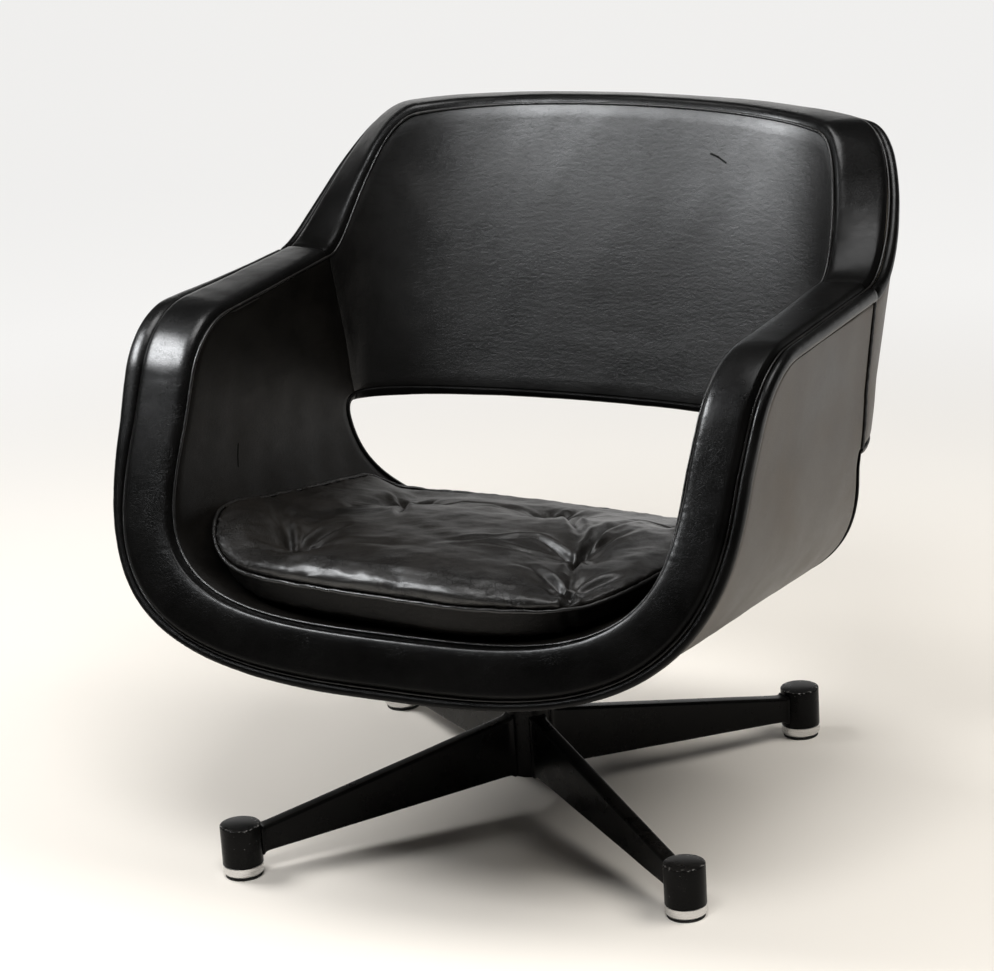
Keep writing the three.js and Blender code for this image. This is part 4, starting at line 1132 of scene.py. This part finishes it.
def stitch_row(name, run):
    """Thread beside an inner seam: one short rounded stitch after another."""
    line = swept(run, [(0, 5.2, 0.1)])[:, 0]
    length = path_length(line)
    shares, thickness = np.array(STITCH_COURSE).T
    turns = full_turn(STITCH_SIDES)
    points, faces = [], []
    for start in np.arange(STITCH_PITCH, length[-1] - STITCH_PITCH, STITCH_PITCH):
        middle = resampled(start + STITCH_LENGTH * shares, length, line)
        ahead = middle[-1] - middle[0]
        ahead /= np.linalg.norm(ahead)
        side = np.cross(ahead, (0, 0, 1) if abs(ahead[2]) < 0.9 else (0, 1, 0))
        side /= np.linalg.norm(side)
        over = np.cross(side, ahead)
        first = len(points)
        for centre, thick in zip(middle, thickness):
            ring = np.outer(np.cos(turns), side) + np.outer(np.sin(turns), over)
            points.extend(centre + STITCH_RADIUS * thick * ring)
        faces += [tuple(first + k for k in face) for face in ring_faces(len(shares), STITCH_SIDES)]
    piece(name, make_mesh(name, points, faces, 0), "seat", THREAD)


stitch_row("front_inner_stitching", FRONT_RUN)
stitch_row("back_inner_stitching", BACK_RUN)
for name, run, node in (
    ("gap_edge_roll", GAP_RUN, "gap_edge_cover"),
    ("back_low_edge_roll", LOW_RUN, "back_low_edge_cover"),
):
    rim_piece(name, run, EDGE_SECTION, BORDER_NOISE, node, tuck=0.6, crackle=0.15, wear=0.2)


# Panels of the bucket and the backrest
PANEL_ROWS = bucket_rows(40, 6, 12, 24)
SEAM_DEPTH = 5.6
BUCKET_STEPS = 60
BACK_COLUMNS = 141
BACK_STEPS = 44
BUCKET_OUTER_JOINT = 2.4
BACK_OUTER_JOINT = 2.0
FOAM_SHARES = (0.085, 0.78)
SIDE_PIPING_RADIUS = 1.7


def panel_lift(grid, scale, folds):
    lift = scale * (0.7 * BROAD_WAVE(grid) + 0.35 * FOLD_WAVE(grid) + 0.12 * SOFT_WAVE(grid))
    return lift - furrows(grid, folds) if folds else lift


def bucket_face(face, front, joint):
    return bucket_grid(face, PANEL_ROWS, BUCKET_STEPS, front, EDGE_ROOM, joint)


def back_face(face, front, joint):
    return back_grid(face, BACK_COLUMNS, BACK_STEPS, front, EDGE_ROOM, joint)


BACK_FOLDS = [
    ((-60, 232, 470), (70, 236, 462), 9, 0.9),
    ((-20, 231, 448), (120, 226, 455), 7, 0.7),
    ((30, 229, 430), (95, 226, 440), 6, 0.6),
    ((-110, 224, 440), (-40, 229, 446), 8, 0.5),
]


def cover_panel(name, face, grid_of, joint, material, scale, folds=(), polish=0.0):
    """A leather panel on the inner or the outer face of the wall."""
    front = RIM_ROOM if face else SEAM_DEPTH
    grid, away = (grid_of(side, front, joint) for side in (face, 1 - face))
    made = slab(f"{name}_panel", grid, away, panel_lift(grid, scale, folds))
    paint(made, "crackle", 0.08)
    paint(made, "wear", 0.14)
    height = in_millimetres(coords_of(made))[:, 2]
    paint(made, "polish", polish * smooth((height - 500) / 190))
    piece(f"{name}_panel", made, "seat", material, (f"{name}_cover",))


cover_panel("bucket_inner", 0, bucket_face, GAP, PANEL_LEATHER, 0.7)
cover_panel("bucket_outer", 1, bucket_face, BUCKET_OUTER_JOINT, SIDE_LEATHER_PAINTED_SHEEN, 0.5)
cover_panel("back_inner", 0, back_face, GAP, BACK_LEATHER, 0.4, BACK_FOLDS, polish=0.8)
cover_panel("back_outer", 1, back_face, BACK_OUTER_JOINT, SIDE_LEATHER_PAINTED_SHEEN, 0.6)


def foam_block(place, inner, outer):
    """The padding between the inner cover and the moulded shell."""
    name = f"{place}_padding"
    front, back = (lerp(inner, outer, share) for share in FOAM_SHARES)
    points = np.concatenate([front.reshape(-1, 3), back.reshape(-1, 3)])
    mesh = make_mesh(name, points, sheet_faces(*front.shape[:2]), 50)
    made = piece(name, mesh, "seat", FOAM, (f"{place}_foam",))


FOAM_ROWS = bucket_rows(16, 3, 6, 10)
foam_block("bucket", *(bucket_grid(face, FOAM_ROWS, 12, 15, 11, 4) for face in (0, 1)))
foam_block("back", *(back_grid(face, 61, 10, 15, 11, 5) for face in (0, 1)))


def side_seam(side, label):
    name = f"side_seam_piping_{label}"
    zs = np.linspace(LOW_HEIGHT[1] + 8, ARM_HEIGHT - 10, 60)
    centres = np.array([(side * (face_x(1, z, ARM_BACK) - 0.2), joint_y(1, z), z) for z in zs])
    turns = full_turn(10)
    ring = np.stack([
        np.cos(turns) * SIDE_PIPING_RADIUS, np.sin(turns) * SIDE_PIPING_RADIUS, 0 * turns,
    ], axis=1)
    grid = centres[:, None] + ring[None]
    grid = grid + (0.25 * SMALL_WAVE(grid))[..., None] * np.array([1, 0, 0])
    made = make_mesh(name, grid, ring_faces(*grid.shape[:2]), 60)
    paint(made, "wear", 0.4)
    piece(name, made, "seat", WELT_LEATHER, (f"side_seam_welt_{label}",))


side_seam(-1, "left")
side_seam(1, "right")


# Loose seat cushion
CUSHION_HALF = 248
CUSHION_FRONT = 281
CUSHION_BACK = 145
CUSHION_TURN = math.radians(-4.5)
STRAIGHT_MIDDLE = np.array([0, (CUSHION_BACK - CUSHION_FRONT) / 2])
CUSHION_MIDDLE = STRAIGHT_MIDDLE + np.array([-13, 0])
WELT_LEVEL = 333.4
SIDE_HEIGHT = 24
LEFT_SAG = 15
CROWN = 30
REAR_CROWN_SHARE = 0.25
SIDE_CROWN_LOSS_SHARE = 0.7
SWELL_SHARE = 0.02
CUSHION_STEPS = 180
CUSHION_VOXEL = 0.0042
CUSHION_BOXING = 26
CUSHION_PIPING_OFFSET = 2.6
CUSHION_PIPING_RADIUS = 2.2
TUFT_DEPTH = 17
TUFT_RADIUS = 27
CLOTH_SETTINGS = {
    "quality": 5, "mass": 0.2, "tension_stiffness": 12, "compression_stiffness": 12,
    "shear_stiffness": 6, "bending_stiffness": 1.2, "shrink_min": -0.014, "use_pressure": True,
    "uniform_pressure_force": 1.6, "vertex_group_mass": "held",
}
CLOTH_FRAMES = 16
SWELLING_LIMIT = 0.004
TUFTS = np.array([(-150, -203), (168, -222), (132, -128), (-140, 25), (22, 40), (178, 52)], float)


def cushion_outline(count):
    turn = np.linspace(0, math.pi / 2, 300)

    def quarter(start, end, power):
        x = CUSHION_HALF * np.maximum(np.cos(turn), 0) ** (2 / power)
        return np.stack([x, lerp(start, end, np.sin(turn) ** (2 / power))], axis=1)

    half = np.concatenate([quarter(-70, -CUSHION_FRONT, 3.4)[::-1], quarter(70, CUSHION_BACK, 3.6)])
    length = path_length(half)
    right = resampled(np.linspace(0, length[-1], count // 2 + 1), length, half)
    straight = np.concatenate([right, right[-2:0:-1] * np.array([-1, 1])]) - STRAIGHT_MIDDLE
    c, s = math.cos(CUSHION_TURN), math.sin(CUSHION_TURN)
    return straight @ np.array([[c, s], [-s, c]]) + CUSHION_MIDDLE


def cushion_level(y):
    return WELT_LEVEL - FLOOR_SLOPE * (y + CUSHION_FRONT)


def left_rear(x, y):
    """The cushion is pressed flat along its left side, behind its front corner."""
    return smooth((-x - 90) / 120) * smooth((y + 200) / 130)


def welt_height(x, y):
    first, second = cushion_level(y), floor_z(x, y) + SIDE_HEIGHT - LEFT_SAG * left_rear(x, y)
    return (first + second + np.hypot(first - second, 6)) / 2


def rest_height(x, y):
    return floor_z(x, y) + lerp(3, 8, np.abs(x / CUSHION_HALF) ** 3)


def tuft_pull(x, y):
    return sum(TUFT_DEPTH * np.exp(-(((x - a) ** 2 + (y - b) ** 2) / TUFT_RADIUS**2)) for a, b in TUFTS)


def tuft_distance(x, y):
    return np.min([np.hypot(x - a, y - b) for a, b in TUFTS], axis=0)


def crown_share(x, y):
    across = (x - CUSHION_MIDDLE[0]) / CUSHION_HALF
    rear = lerp(1, REAR_CROWN_SHARE, smooth((y + 60) / (CUSHION_BACK + 60)))
    return rear * (1 - SIDE_CROWN_LOSS_SHARE * clamp01(across**2)) * (1 - 0.4 * left_rear(x, y))


def cushion_rings(count):
    """Rings of the cushion from the middle of its top, over the welt, to the middle below."""
    outline = cushion_outline(count)
    x, y = outline.T
    welt = welt_height(x, y)
    lift = welt - cushion_level(y)
    rings = []
    profile = [(s, 0.0, 1 - 0.13 * s**10) for s in np.linspace(0.04, 0.9, 20)]
    profile += [(0.93, 0.2, 0.83), (0.96, 0.6, 0.74), (0.98, 0.85, 0.62), (0.99, 1.0, 0.5), (1.0, 1.0, 0.38)]
    profile += [(1.0, 0.6, 0.2), (1.0, 0.0, 0.0)]
    for share, swell, rise in profile:
        p = CUSHION_MIDDLE + (outline - CUSHION_MIDDLE) * share
        crown = crown_share(*p.T)
        p = CUSHION_MIDDLE + (p - CUSHION_MIDDLE) * (1 + SWELL_SHARE * swell * crown)[:, None]
        z = cushion_level(p[:, 1]) + lift * share**3 + (CROWN * crown - tuft_pull(*p.T)) * rise
        rings.append(np.column_stack([p, z]))
    for part, draw in ((0.25, 2.0), (0.6, 3.5), (1.0, 5.0)):
        length = np.linalg.norm(outline - CUSHION_MIDDLE, axis=1, keepdims=True)
        p = CUSHION_MIDDLE + (outline - CUSHION_MIDDLE) * (1 - draw / length)
        under = np.maximum(welt_height(p[:, 0], p[:, 1]) - CUSHION_BOXING, rest_height(p[:, 0], p[:, 1]))
        rings.append(np.column_stack([p, lerp(welt, under, part)]))
    for share in (0.92, 0.75, 0.5, 0.25, 0.05):
        p = CUSHION_MIDDLE + (outline - CUSHION_MIDDLE) * share
        rings.append(np.column_stack([p, rest_height(p[:, 0], p[:, 1])]))
    return np.array(rings)


def inflate(mesh):
    """Lets the leather swell between its held points, as Blender's cloth, and keeps the result."""
    made = new_object("cushion_swelling", mesh)
    start = coords_of(mesh)
    group = made.vertex_groups.new(name="held")
    for index, weight in enumerate(held_parts(start)):
        if weight > 0.01:
            group.add([index], float(weight), "REPLACE")
    cloth = made.modifiers.new("Cloth", "CLOTH")
    for key, value in CLOTH_SETTINGS.items():
        setattr(cloth.settings, key, value)
    cloth.settings.effector_weights.gravity = 0
    cloth.collision_settings.use_collision = False
    cloth.point_cache.frame_start = 1
    cloth.point_cache.frame_end = CLOTH_FRAMES
    for number in range(1, CLOTH_FRAMES + 1):
        bpy.context.scene.frame_set(number)
    shaped = made.evaluated_get(bpy.context.evaluated_depsgraph_get()).to_mesh()
    moved = coords_of(shaped) - start
    length = np.linalg.norm(moved, axis=1, keepdims=True)
    moved *= np.minimum(1, SWELLING_LIMIT / np.maximum(length, 1e-9))
    rim = outline_gap(in_millimetres(start))
    moved *= (0.25 + 0.5 * smooth((rim - 25) / 60))[:, None]
    made.modifiers.remove(cloth)
    mesh.vertices.foreach_set("co", (start + moved).ravel())
    mesh.update()
    bpy.data.objects.remove(made)


def outline_gap(points):
    """Distance in millimetres from each point to the cushion's outline, seen from above."""
    outline = cushion_outline(240)
    gaps = np.empty(len(points))
    for first in range(0, len(points), 4000):
        part = points[first:first + 4000, :2]
        gaps[first:first + 4000] = np.linalg.norm(part[:, None] - outline[None], axis=2).min(axis=1)
    return gaps


def held_parts(coords):
    points = in_millimetres(coords)
    tuft = 1 - smooth((tuft_distance(points[:, 0], points[:, 1]) - 3) / 5)
    low = points[:, 2] < welt_height(points[:, 0], points[:, 1]) + 1
    edge = (1 - smooth(outline_gap(points) / 6)) * (points[:, 2] < WELT_LEVEL + 8)
    return np.where(low, 1.0, np.maximum(tuft, edge))


# Folds of the cushion's top: the points that each runs through, its width and its depth
CUSHION_FOLDS = [
    ([(-142, 25), (-118, -40), (-91, -93)], 5.0, 6.0),
    ([(-142, 25), (-175, 60), (-203, 83)], 5.0, 3.5),
    ([(-150, 20), (-175, -16), (-200, -30)], 5.5, 3.5),
    ([(-140, 20), (-128, -50), (-128, -81)], 5.0, 3.0),
    ([(-140, 28), (-140, 60), (-138, 84)], 4.5, 4.0),
    ([(-136, 25), (-60, 44), (16, 44)], 7.0, 3.0),
    ([(22, 40), (70, -7), (110, -70), (130, -115)], 6.0, 5.0),
    ([(16, 44), (28, 80), (30, 110)], 5.0, 3.0),
    ([(132, -128), (166, -214)], 5.0, 5.0),
    ([(134, -124), (124, -50), (122, 7), (134, 46)], 5.5, 6.0),
    ([(134, -124), (150, -60), (158, -10)], 4.5, 2.5),
    ([(128, -124), (75, -100), (21, -143), (-20, -180)], 5.5, 4.0),
    ([(128, -128), (90, -148), (8, -153)], 5.0, 2.5),
    ([(169, -220), (188, -262), (193, -290)], 5.0, 5.0),
    ([(166, -222), (120, -200), (90, -205)], 5.0, 3.0),
    ([(172, -218), (205, -185), (222, -160)], 5.0, 3.0),
    ([(-160, -195), (-185, -160), (-197, -136)], 4.5, 4.0),
    ([(-165, -195), (-225, -120), (-256, -69)], 6.0, 2.5),
    ([(-150, -195), (-137, -157), (-120, -111)], 5.5, 3.5),
    ([(-155, -208), (-205, -235)], 5.0, 2.0),
    ([(178, 52), (140, 40), (100, 30)], 5.0, 3.0),
    ([(178, 52), (200, 0), (205, -60)], 6.0, 3.0),
    ([(-150, -203), (-60, -190), (20, -196)], 9.0, 2.0),
]
FOLD_WIDTH_SHARE = 0.66
FOLD_DEPTH_SHARE = 1.45


def gathers(seed, each, reach):
    """Short folds that run out from every tuft."""
    rng = np.random.default_rng(seed)
    folds = []
    for tuft in TUFTS:
        for turn in np.linspace(0, 2 * math.pi, each, endpoint=False) + rng.uniform(0, 1):
            aim = turn + rng.uniform(-0.25, 0.25)
            far = tuft + rng.uniform(*reach) * np.array([math.cos(aim), math.sin(aim)])
            folds.append(([tuft + (far - tuft) * 0.12, far], rng.uniform(2.6, 4.0), rng.uniform(0.8, 2.2)))
    return folds


def fold_depth(points, folds):
    """How deep the folds lie below each point, seen from above."""
    sunk = np.zeros(len(points))
    for course, width, depth in folds:
        course = np.array(course, float)
        legs = np.linalg.norm(np.diff(course, axis=0), axis=1)
        gap = np.full(len(points), 1e9)
        share = np.zeros(len(points))
        for k, leg in enumerate(legs):
            step = course[k + 1] - course[k]
            along = clamp01((points - course[k]) @ step / leg**2)
            off = np.linalg.norm(points - course[k] - along[:, None] * step, axis=1)
            closer = off < gap
            gap = np.where(closer, off, gap)
            share = np.where(closer, (legs[:k].sum() + along * leg) / legs.sum(), share)
        fade = 1 - smooth((share - 0.25) / 0.75)
        wide = FOLD_WIDTH_SHARE * width * (1 + 0.7 * share)
        valley = bell(gap, wide) - 0.35 * bell(gap - 2.1 * wide, wide)
        sunk += FOLD_DEPTH_SHARE * depth * fade * valley
    return sunk


def even_cushion():
    """The cushion before its folds, as a mesh of even faces."""
    rings = cushion_rings(CUSHION_STEPS)
    start = make_mesh("cushion_start", rings, ring_faces(len(rings), CUSHION_STEPS), 0)
    made = new_object("cushion_start", start)
    remesh = made.modifiers.new("Remesh", "REMESH")
    remesh.mode = "VOXEL"
    remesh.voxel_size = CUSHION_VOXEL
    even = bpy.data.meshes.new_from_object(made.evaluated_get(bpy.context.evaluated_depsgraph_get()))
    bpy.data.objects.remove(made)
    return even


def soften(bm):
    bmesh.ops.smooth_vert(bm, verts=bm.verts, factor=0.4, use_axis_x=True, use_axis_y=True, use_axis_z=True)


def refine(bm):
    bmesh.ops.subdivide_edges(bm, edges=bm.edges, cuts=1, smooth=1.0, use_grid_fill=True)


def make_cushion():
    even = even_cushion()
    inflate(even)
    edit_mesh(even, soften, refine)
    points = in_millimetres(coords_of(even))
    normals = np.array([v.normal for v in even.vertices])
    x, y, z = points.T
    edge = outline_gap(points)
    top = z > welt_height(x, y) + 2
    sunk = fold_depth(points[:, :2], CUSHION_FOLDS + gathers(31, 11, (22, 52)))
    sunk += 4.0 * bell(tuft_distance(x, y), 5)
    sunk += 1.6 * bell(z - welt_height(x, y), 3.0) * (edge < 14)
    lift = 0.6 * FOLD_WAVE(points) + 0.3 * SOFT_WAVE(points) + 0.08 * SMALL_WAVE(points)
    points = points + normals * ((lift - sunk) * np.where(top, 1.0, 0.3))[:, None]
    even.vertices.foreach_set("co", in_metres(points).ravel())
    even.update()
    shade_smooth(even)
    front = smooth((-150 - y) / 120)
    paint(even, "crackle", clamp01((0.25 + 0.75 * front) * bell(edge, 60) * top + 0.1))
    paint(even, "wear", clamp01(0.12 + 0.3 * bell(edge, 14) * top))
    strip = smooth((-195 - y) / 40) * bell(edge - 6, 20)
    broad = lerp(0.03, 0.9, smooth((x + 190) / 400))
    paint(even, "polish", clamp01((broad + 0.95 * strip) * top))
    made = piece("seat_cushion_leather", even, "cushion", CUSHION_LEATHER, ("seat_cushion",))


def make_cushion_welt():
    outline = cushion_outline(360)
    before, after = np.roll(outline, 1, axis=0), np.roll(outline, -1, axis=0)
    away = np.stack([after[:, 1] - before[:, 1], before[:, 0] - after[:, 0]], axis=1)
    away /= np.linalg.norm(away, axis=1, keepdims=True)
    away *= np.sign((away * (outline - CUSHION_MIDDLE)).sum(axis=1, keepdims=True))
    centre = outline + away * CUSHION_PIPING_OFFSET
    z = welt_height(*outline.T)
    turns = full_turn(12)
    grid = np.zeros((len(outline), len(turns), 3))
    for j, turn in enumerate(turns):
        grid[:, j, :2] = centre + away * CUSHION_PIPING_RADIUS * math.cos(turn)
        grid[:, j, 2] = z + CUSHION_PIPING_RADIUS * math.sin(turn)
    wave = 0.3 * SMALL_WAVE(grid) + 0.4 * SOFT_WAVE(grid)
    grid[..., 2] += wave
    grid[..., :2] += 0.5 * wave[..., None] * away[:, None]
    made = make_mesh("cushion_piping", grid, ring_faces(*grid.shape[:2], closed_run=True), 60)
    paint(made, "wear", 0.45)
    paint(made, "crackle", 0.5)
    piece("cushion_piping", made, "cushion", WELT_LEATHER, ("cushion_welt",))


make_cushion()
make_cushion_welt()


# Pedestal
FOOT_RADIUS = 340
HUB_RADIUS = 24
POST_RADIUS = 21.5
LEG_TURNS = [math.radians(8.25 + 90 * (i + 0.5)) for i in range(4)]
LEG_TOP = (106, 50)
LEG_BOTTOM = (39, 21.6)
LEG_HALF_WIDTH = 8.5
LEG_CORNER = 3.6
LEG_SINK = 2
WELD = 2.2
LATHE_STEPS = 96
CORNER_CUT = 0.35
TUBE_PROFILE = ((17, 38), (24, 38), (24, 168), (17, 168))
POST_PROFILE = ((0, 36.4), (5.4, 36.4), (5.4, 14.1), (21.5, 14.1), (21.5, 56.4), (20.9, 57), (0, 57))
GLIDE_PROFILE = ((0, 2.8), (19.2, 2.8), (21.5, 5.3), (21.5, 13.8), (5, 13.8), (5, 35.6), (0, 35.6))


def merge(bm):
    bmesh.ops.remove_doubles(bm, verts=bm.verts, dist=1e-6)


def turned_piece(name, profile, body, material, node, spot=(0, 0), wear=None):
    """A lathe piece. Its profile's corners are cut back a little, so that edges catch light."""
    points = []
    for k, (r, z) in enumerate(profile):
        if r == 0:
            points.append((r, z))
            continue
        for other in (profile[k - 1], profile[(k + 1) % len(profile)]):
            length = math.hypot(other[0] - r, other[1] - z)
            share = min(CORNER_CUT, length / 3) / length
            points.append((lerp(r, other[0], share), lerp(z, other[1], share)))
    grid = np.array([
        [(r * math.cos(t), r * math.sin(t), z) for r, z in points] for t in full_turn(LATHE_STEPS)
    ])
    count = len(points)
    faces = []
    for s in range(LATHE_STEPS):
        a, b = s * count, ((s + 1) % LATHE_STEPS) * count
        faces += [(a + i, b + i, b + i + 1, a + i + 1) for i in range(count - 1)]
        if profile[0][0] > 0:
            faces.append((a + count - 1, b + count - 1, b, a))
    made = make_mesh(name, grid + np.array([*spot, 0]), faces, 28)
    edit_mesh(made, merge, outward)
    if wear is not None:
        paint(made, "wear", wear(in_millimetres(coords_of(made))) if callable(wear) else wear)
    piece(name, made, body, material, (node,))


def leg_mesh(name, turn):
    start, end = HUB_RADIUS - LEG_SINK, FOOT_RADIUS - POST_RADIUS + LEG_SINK
    xs = np.concatenate([
        np.linspace(start, start + 8, 9), np.linspace(start + 12, end - 12, 40), np.linspace(end - 8, end, 9),
    ])
    rings = []
    for x in xs:
        share = (x - HUB_RADIUS) / (FOOT_RADIUS - HUB_RADIUS - POST_RADIUS)
        near = min(x - HUB_RADIUS, FOOT_RADIUS - POST_RADIUS - x)
        fillet = WELD * math.exp(-max(near, 0) / WELD)
        top, bottom = lerp(*LEG_TOP, share) + fillet, lerp(*LEG_BOTTOM, share) - fillet
        half, radius = LEG_HALF_WIDTH + fillet, LEG_CORNER
        ring = []
        for quarter, (y, z) in enumerate((
            (half - radius, top - radius), (radius - half, top - radius),
            (radius - half, bottom + radius), (half - radius, bottom + radius),
        )):
            for s in np.linspace(0, 1, 6):
                angle = (quarter + s) * math.pi / 2
                ring.append((x, y + radius * math.cos(angle), z + radius * math.sin(angle)))
        rings.append(ring)
    grid = np.array(rings)
    grid = grid + (0.12 * FOLD_WAVE(grid + 500 * turn))[..., None] * np.array([0, 1, 0])
    c, s = math.cos(turn), math.sin(turn)
    grid = grid @ np.array([[c, s, 0], [-s, c, 0], [0, 0, 1]])
    made = make_mesh(name, grid, ring_faces(*grid.shape[:2]), 40)
    points = in_millimetres(coords_of(made))
    reach = np.hypot(points[:, 0], points[:, 1])
    paint(made, "wear", 0.12 * smooth((reach - 200) / 120))
    return made


def post_wear(points, place):
    reach = np.hypot(points[:, 0] - place[0], points[:, 1] - place[1])
    top = bell(points[:, 2] - 57, 1.6) * (reach > POST_RADIUS - 1.2)
    low = bell(points[:, 2] - 14.3, 1.2)
    return clamp01(0.02 + 0.55 * top + 0.3 * low)


turned_piece("pedestal_tube", TUBE_PROFILE, "base", BLACK_PAINT, "hub_post", wear=0.0)
for number, turn in enumerate(LEG_TURNS, start=1):
    spot = (FOOT_RADIUS * math.cos(turn), FOOT_RADIUS * math.sin(turn))
    name = f"pedestal_leg_{number}"
    piece(name, leg_mesh(name, turn), "base", BLACK_PAINT, (f"leg_{number}",))
    turned_piece(f"pedestal_foot_{number}", POST_PROFILE, "base", BLACK_PAINT,
                 f"foot_post_{number}", spot, lambda points: post_wear(points, spot))
    turned_piece(f"levelling_glide_{number}", GLIDE_PROFILE, f"glide_{number}",
                 BRIGHT_STEEL, f"foot_glide_{number}", spot)


# Finishes of the nodes that keep their own shape
def finish_node(name, material):
    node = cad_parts[name]
    if not node.data.materials:
        node.data.materials.append(material)
    for place in node.material_slots:
        place.material = material


KEPT = {
    "seat_plate": BLACK_PAINT, "spindle": ZINC, "retaining_clip": ZINC, "upper_bush": PLASTIC,
    "lower_bush": PLASTIC, "thrust_washer": PLASTIC, "hub_end_cap": PAD, "bucket_shell": MOULDED,
    "back_shell": MOULDED, "joint_strip_left": MOULDED, "joint_strip_right": MOULDED,
}
for number in range(1, 5):
    KEPT[f"plate_bolt_{number}"] = ZINC
    KEPT[f"tee_nut_{number}"] = ZINC
    KEPT[f"glide_pad_{number}"] = PAD
for name, material in KEPT.items():
    finish_node(name, material)


# Studio: a pale floor that turns up into a backdrop
SHEET_VIEW = math.radians(27.8)
SHEET_BEND = 1.6
SHEET_FLOOR_END = 3.2
SHEET_COLUMNS = 8


def studio_sheet():
    profile = [(-7.0, 0.0), (-2.0, 0.0), (0.0, 0.0), (2.0, 0.0), (SHEET_FLOOR_END, 0.0)]
    for turn in np.linspace(0, math.pi / 2, 16)[1:]:
        reach, rise = SHEET_BEND * math.sin(turn), SHEET_BEND - SHEET_BEND * math.cos(turn)
        profile.append((SHEET_FLOOR_END + reach, rise))
    profile.append((4.8, 1.9))
    c, s = math.cos(SHEET_VIEW), math.sin(SHEET_VIEW)
    along, across = np.array([-s, c]), np.array([c, s])
    points = [
        (*(along * distance + across * side), height)
        for distance, height in profile for side in np.linspace(-7, 7, SHEET_COLUMNS)
    ]
    faces = []
    for i in range(len(profile) - 1):
        for a in range(i * SHEET_COLUMNS, (i + 1) * SHEET_COLUMNS - 1):
            faces.append((a, a + 1, a + SHEET_COLUMNS + 1, a + SHEET_COLUMNS))
    mesh = bpy.data.meshes.new("studio_sheet")
    mesh.from_pydata(points, [], faces)
    shade_smooth(mesh)
    sheet = new_object("studio_sheet", mesh)
    material = bpy.data.materials.new("pale studio paper")
    material.use_nodes = True
    net = Net(material.node_tree)
    shader = net.node("ShaderNodeBsdfDiffuse", {"Color": (0.8, 0.775, 0.735, 1)})
    glow = net.node("ShaderNodeEmission", {"Color": (0.975, 0.97, 0.96, 1), "Strength": 1.0})
    path = net.node("ShaderNodeLightPath")
    seen = net.math("MAXIMUM", path.outputs["Is Camera Ray"], path.outputs["Is Glossy Ray"])
    place = net.node("ShaderNodeTexCoord").outputs["Object"]
    away = net.node("ShaderNodeVectorMath", {0: place}, operation="LENGTH").outputs["Value"]
    far = net.node("ShaderNodeMapRange", {
        "Value": away, "From Min": 0.5, "From Max": 2.3, "To Min": 0.0, "To Max": 0.85,
    }, interpolation_type="SMOOTHSTEP").outputs["Result"]
    both = net.node("ShaderNodeMixShader", {
        0: net.times(seen, far), 1: shader.outputs[0], 2: glow.outputs[0],
    })
    net.node("ShaderNodeOutputMaterial", {"Surface": both.outputs[0]})
    mesh.materials.append(material)


def soft_box(name, place, aim, size, power, tint, card, along=(0.0, 0.0, 1.0)):
    """A rectangular lamp, seen only in reflections if it is a card, and otherwise only as light.
    Its longer side lies as near as it can to the direction along."""
    light = bpy.data.lights.new(name, "AREA")
    light.shape = "RECTANGLE"
    light.size, light.size_y = size
    light.energy = power
    light.color = tint
    made = new_object(name, light)
    made.location = place
    made.visible_camera = False
    made.visible_glossy = card
    made.visible_diffuse = not card
    behind = (Vector(place) - Vector(aim)).normalized()
    across = Vector(along).cross(behind).normalized()
    upward = behind.cross(across)
    made.rotation_euler = Matrix((across, upward, behind)).transposed().to_euler()


def studio_world():
    world = bpy.data.worlds.new("studio")
    bpy.context.scene.world = world
    world.use_nodes = True
    net = Net(world.node_tree)
    path = net.node("ShaderNodeLightPath")
    ambient, mirrored, shown = (
        net.node("ShaderNodeBackground", {"Color": color, "Strength": strength}).outputs[0]
        for color, strength in (
            ((0.95, 0.97, 1.0, 1), 0.05), ((0.95, 0.97, 1.0, 1), 0.04), ((0.87, 0.866, 0.856, 1), 1.0),
        )
    )
    dark = net.node("ShaderNodeMixShader", {0: path.outputs["Is Glossy Ray"], 1: ambient, 2: mirrored})
    both = net.node("ShaderNodeMixShader", {
        0: path.outputs["Is Camera Ray"], 1: dark.outputs[0], 2: shown,
    })
    net.node("ShaderNodeOutputWorld", {"Surface": both.outputs[0]})


studio_sheet()
studio_world()
soft_box("front_left_card", (-0.64, -0.47, 1.18), (0.0, 0.05, 0.55), (0.3, 0.38), 11,
         (0.96, 0.98, 1.0), card=True, along=(0.0, 0.93, 0.37))
soft_box("ceiling_card", (0.1, 0.1, 2.6), (0.1, 0.1, 0.0), (1.4, 1.0), 24,
         (1.0, 1.0, 1.0), card=True, along=(0.0, 1.0, 0.0))
soft_box("left_softbox", (-1.7, -0.3, 2.1), (0.0, 0.0, 0.1), (1.1, 1.1), 50,
         (1.0, 0.98, 0.95), card=False)
soft_box("right_softbox", (1.6, 0.3, 2.4), (0.1, 0.0, 0.1), (1.5, 1.5), 46,
         (1.0, 0.96, 0.9), card=False)
soft_box("overhead_softbox", (-0.05, 0.2, 2.7), (0.05, 0.0, 0.0), (2.0, 1.6), 14,
         (1.0, 0.97, 0.93), card=False, along=(0.0, 1.0, 0.0))
soft_box("front_softbox", (0.4, -1.3, 2.5), (0.1, -0.2, 0.0), (1.2, 0.8), 40,
         (1.0, 0.98, 0.95), card=False)


# Camera
camera_data = bpy.data.cameras.new("camera")
camera_data.sensor_width = 36
camera_data.lens = 117.27
camera_data.clip_end = 60
camera = new_object("camera", camera_data)
right = (0.888835, 0.454503, -0.058299)
up = (-0.090201, 0.29828, 0.950207)
back = (0.449261, -0.839319, 0.306118)
spot = (1.520473 + AXIS.x, -2.880065 + AXIS.y, 1.410548)
camera.matrix_world = Matrix([
    [right[k], up[k], back[k], spot[k]] for k in range(3)
] + [[0, 0, 0, 1]])
bpy.context.scene.camera = camera
bpy.context.scene.view_settings.view_transform = "Standard"
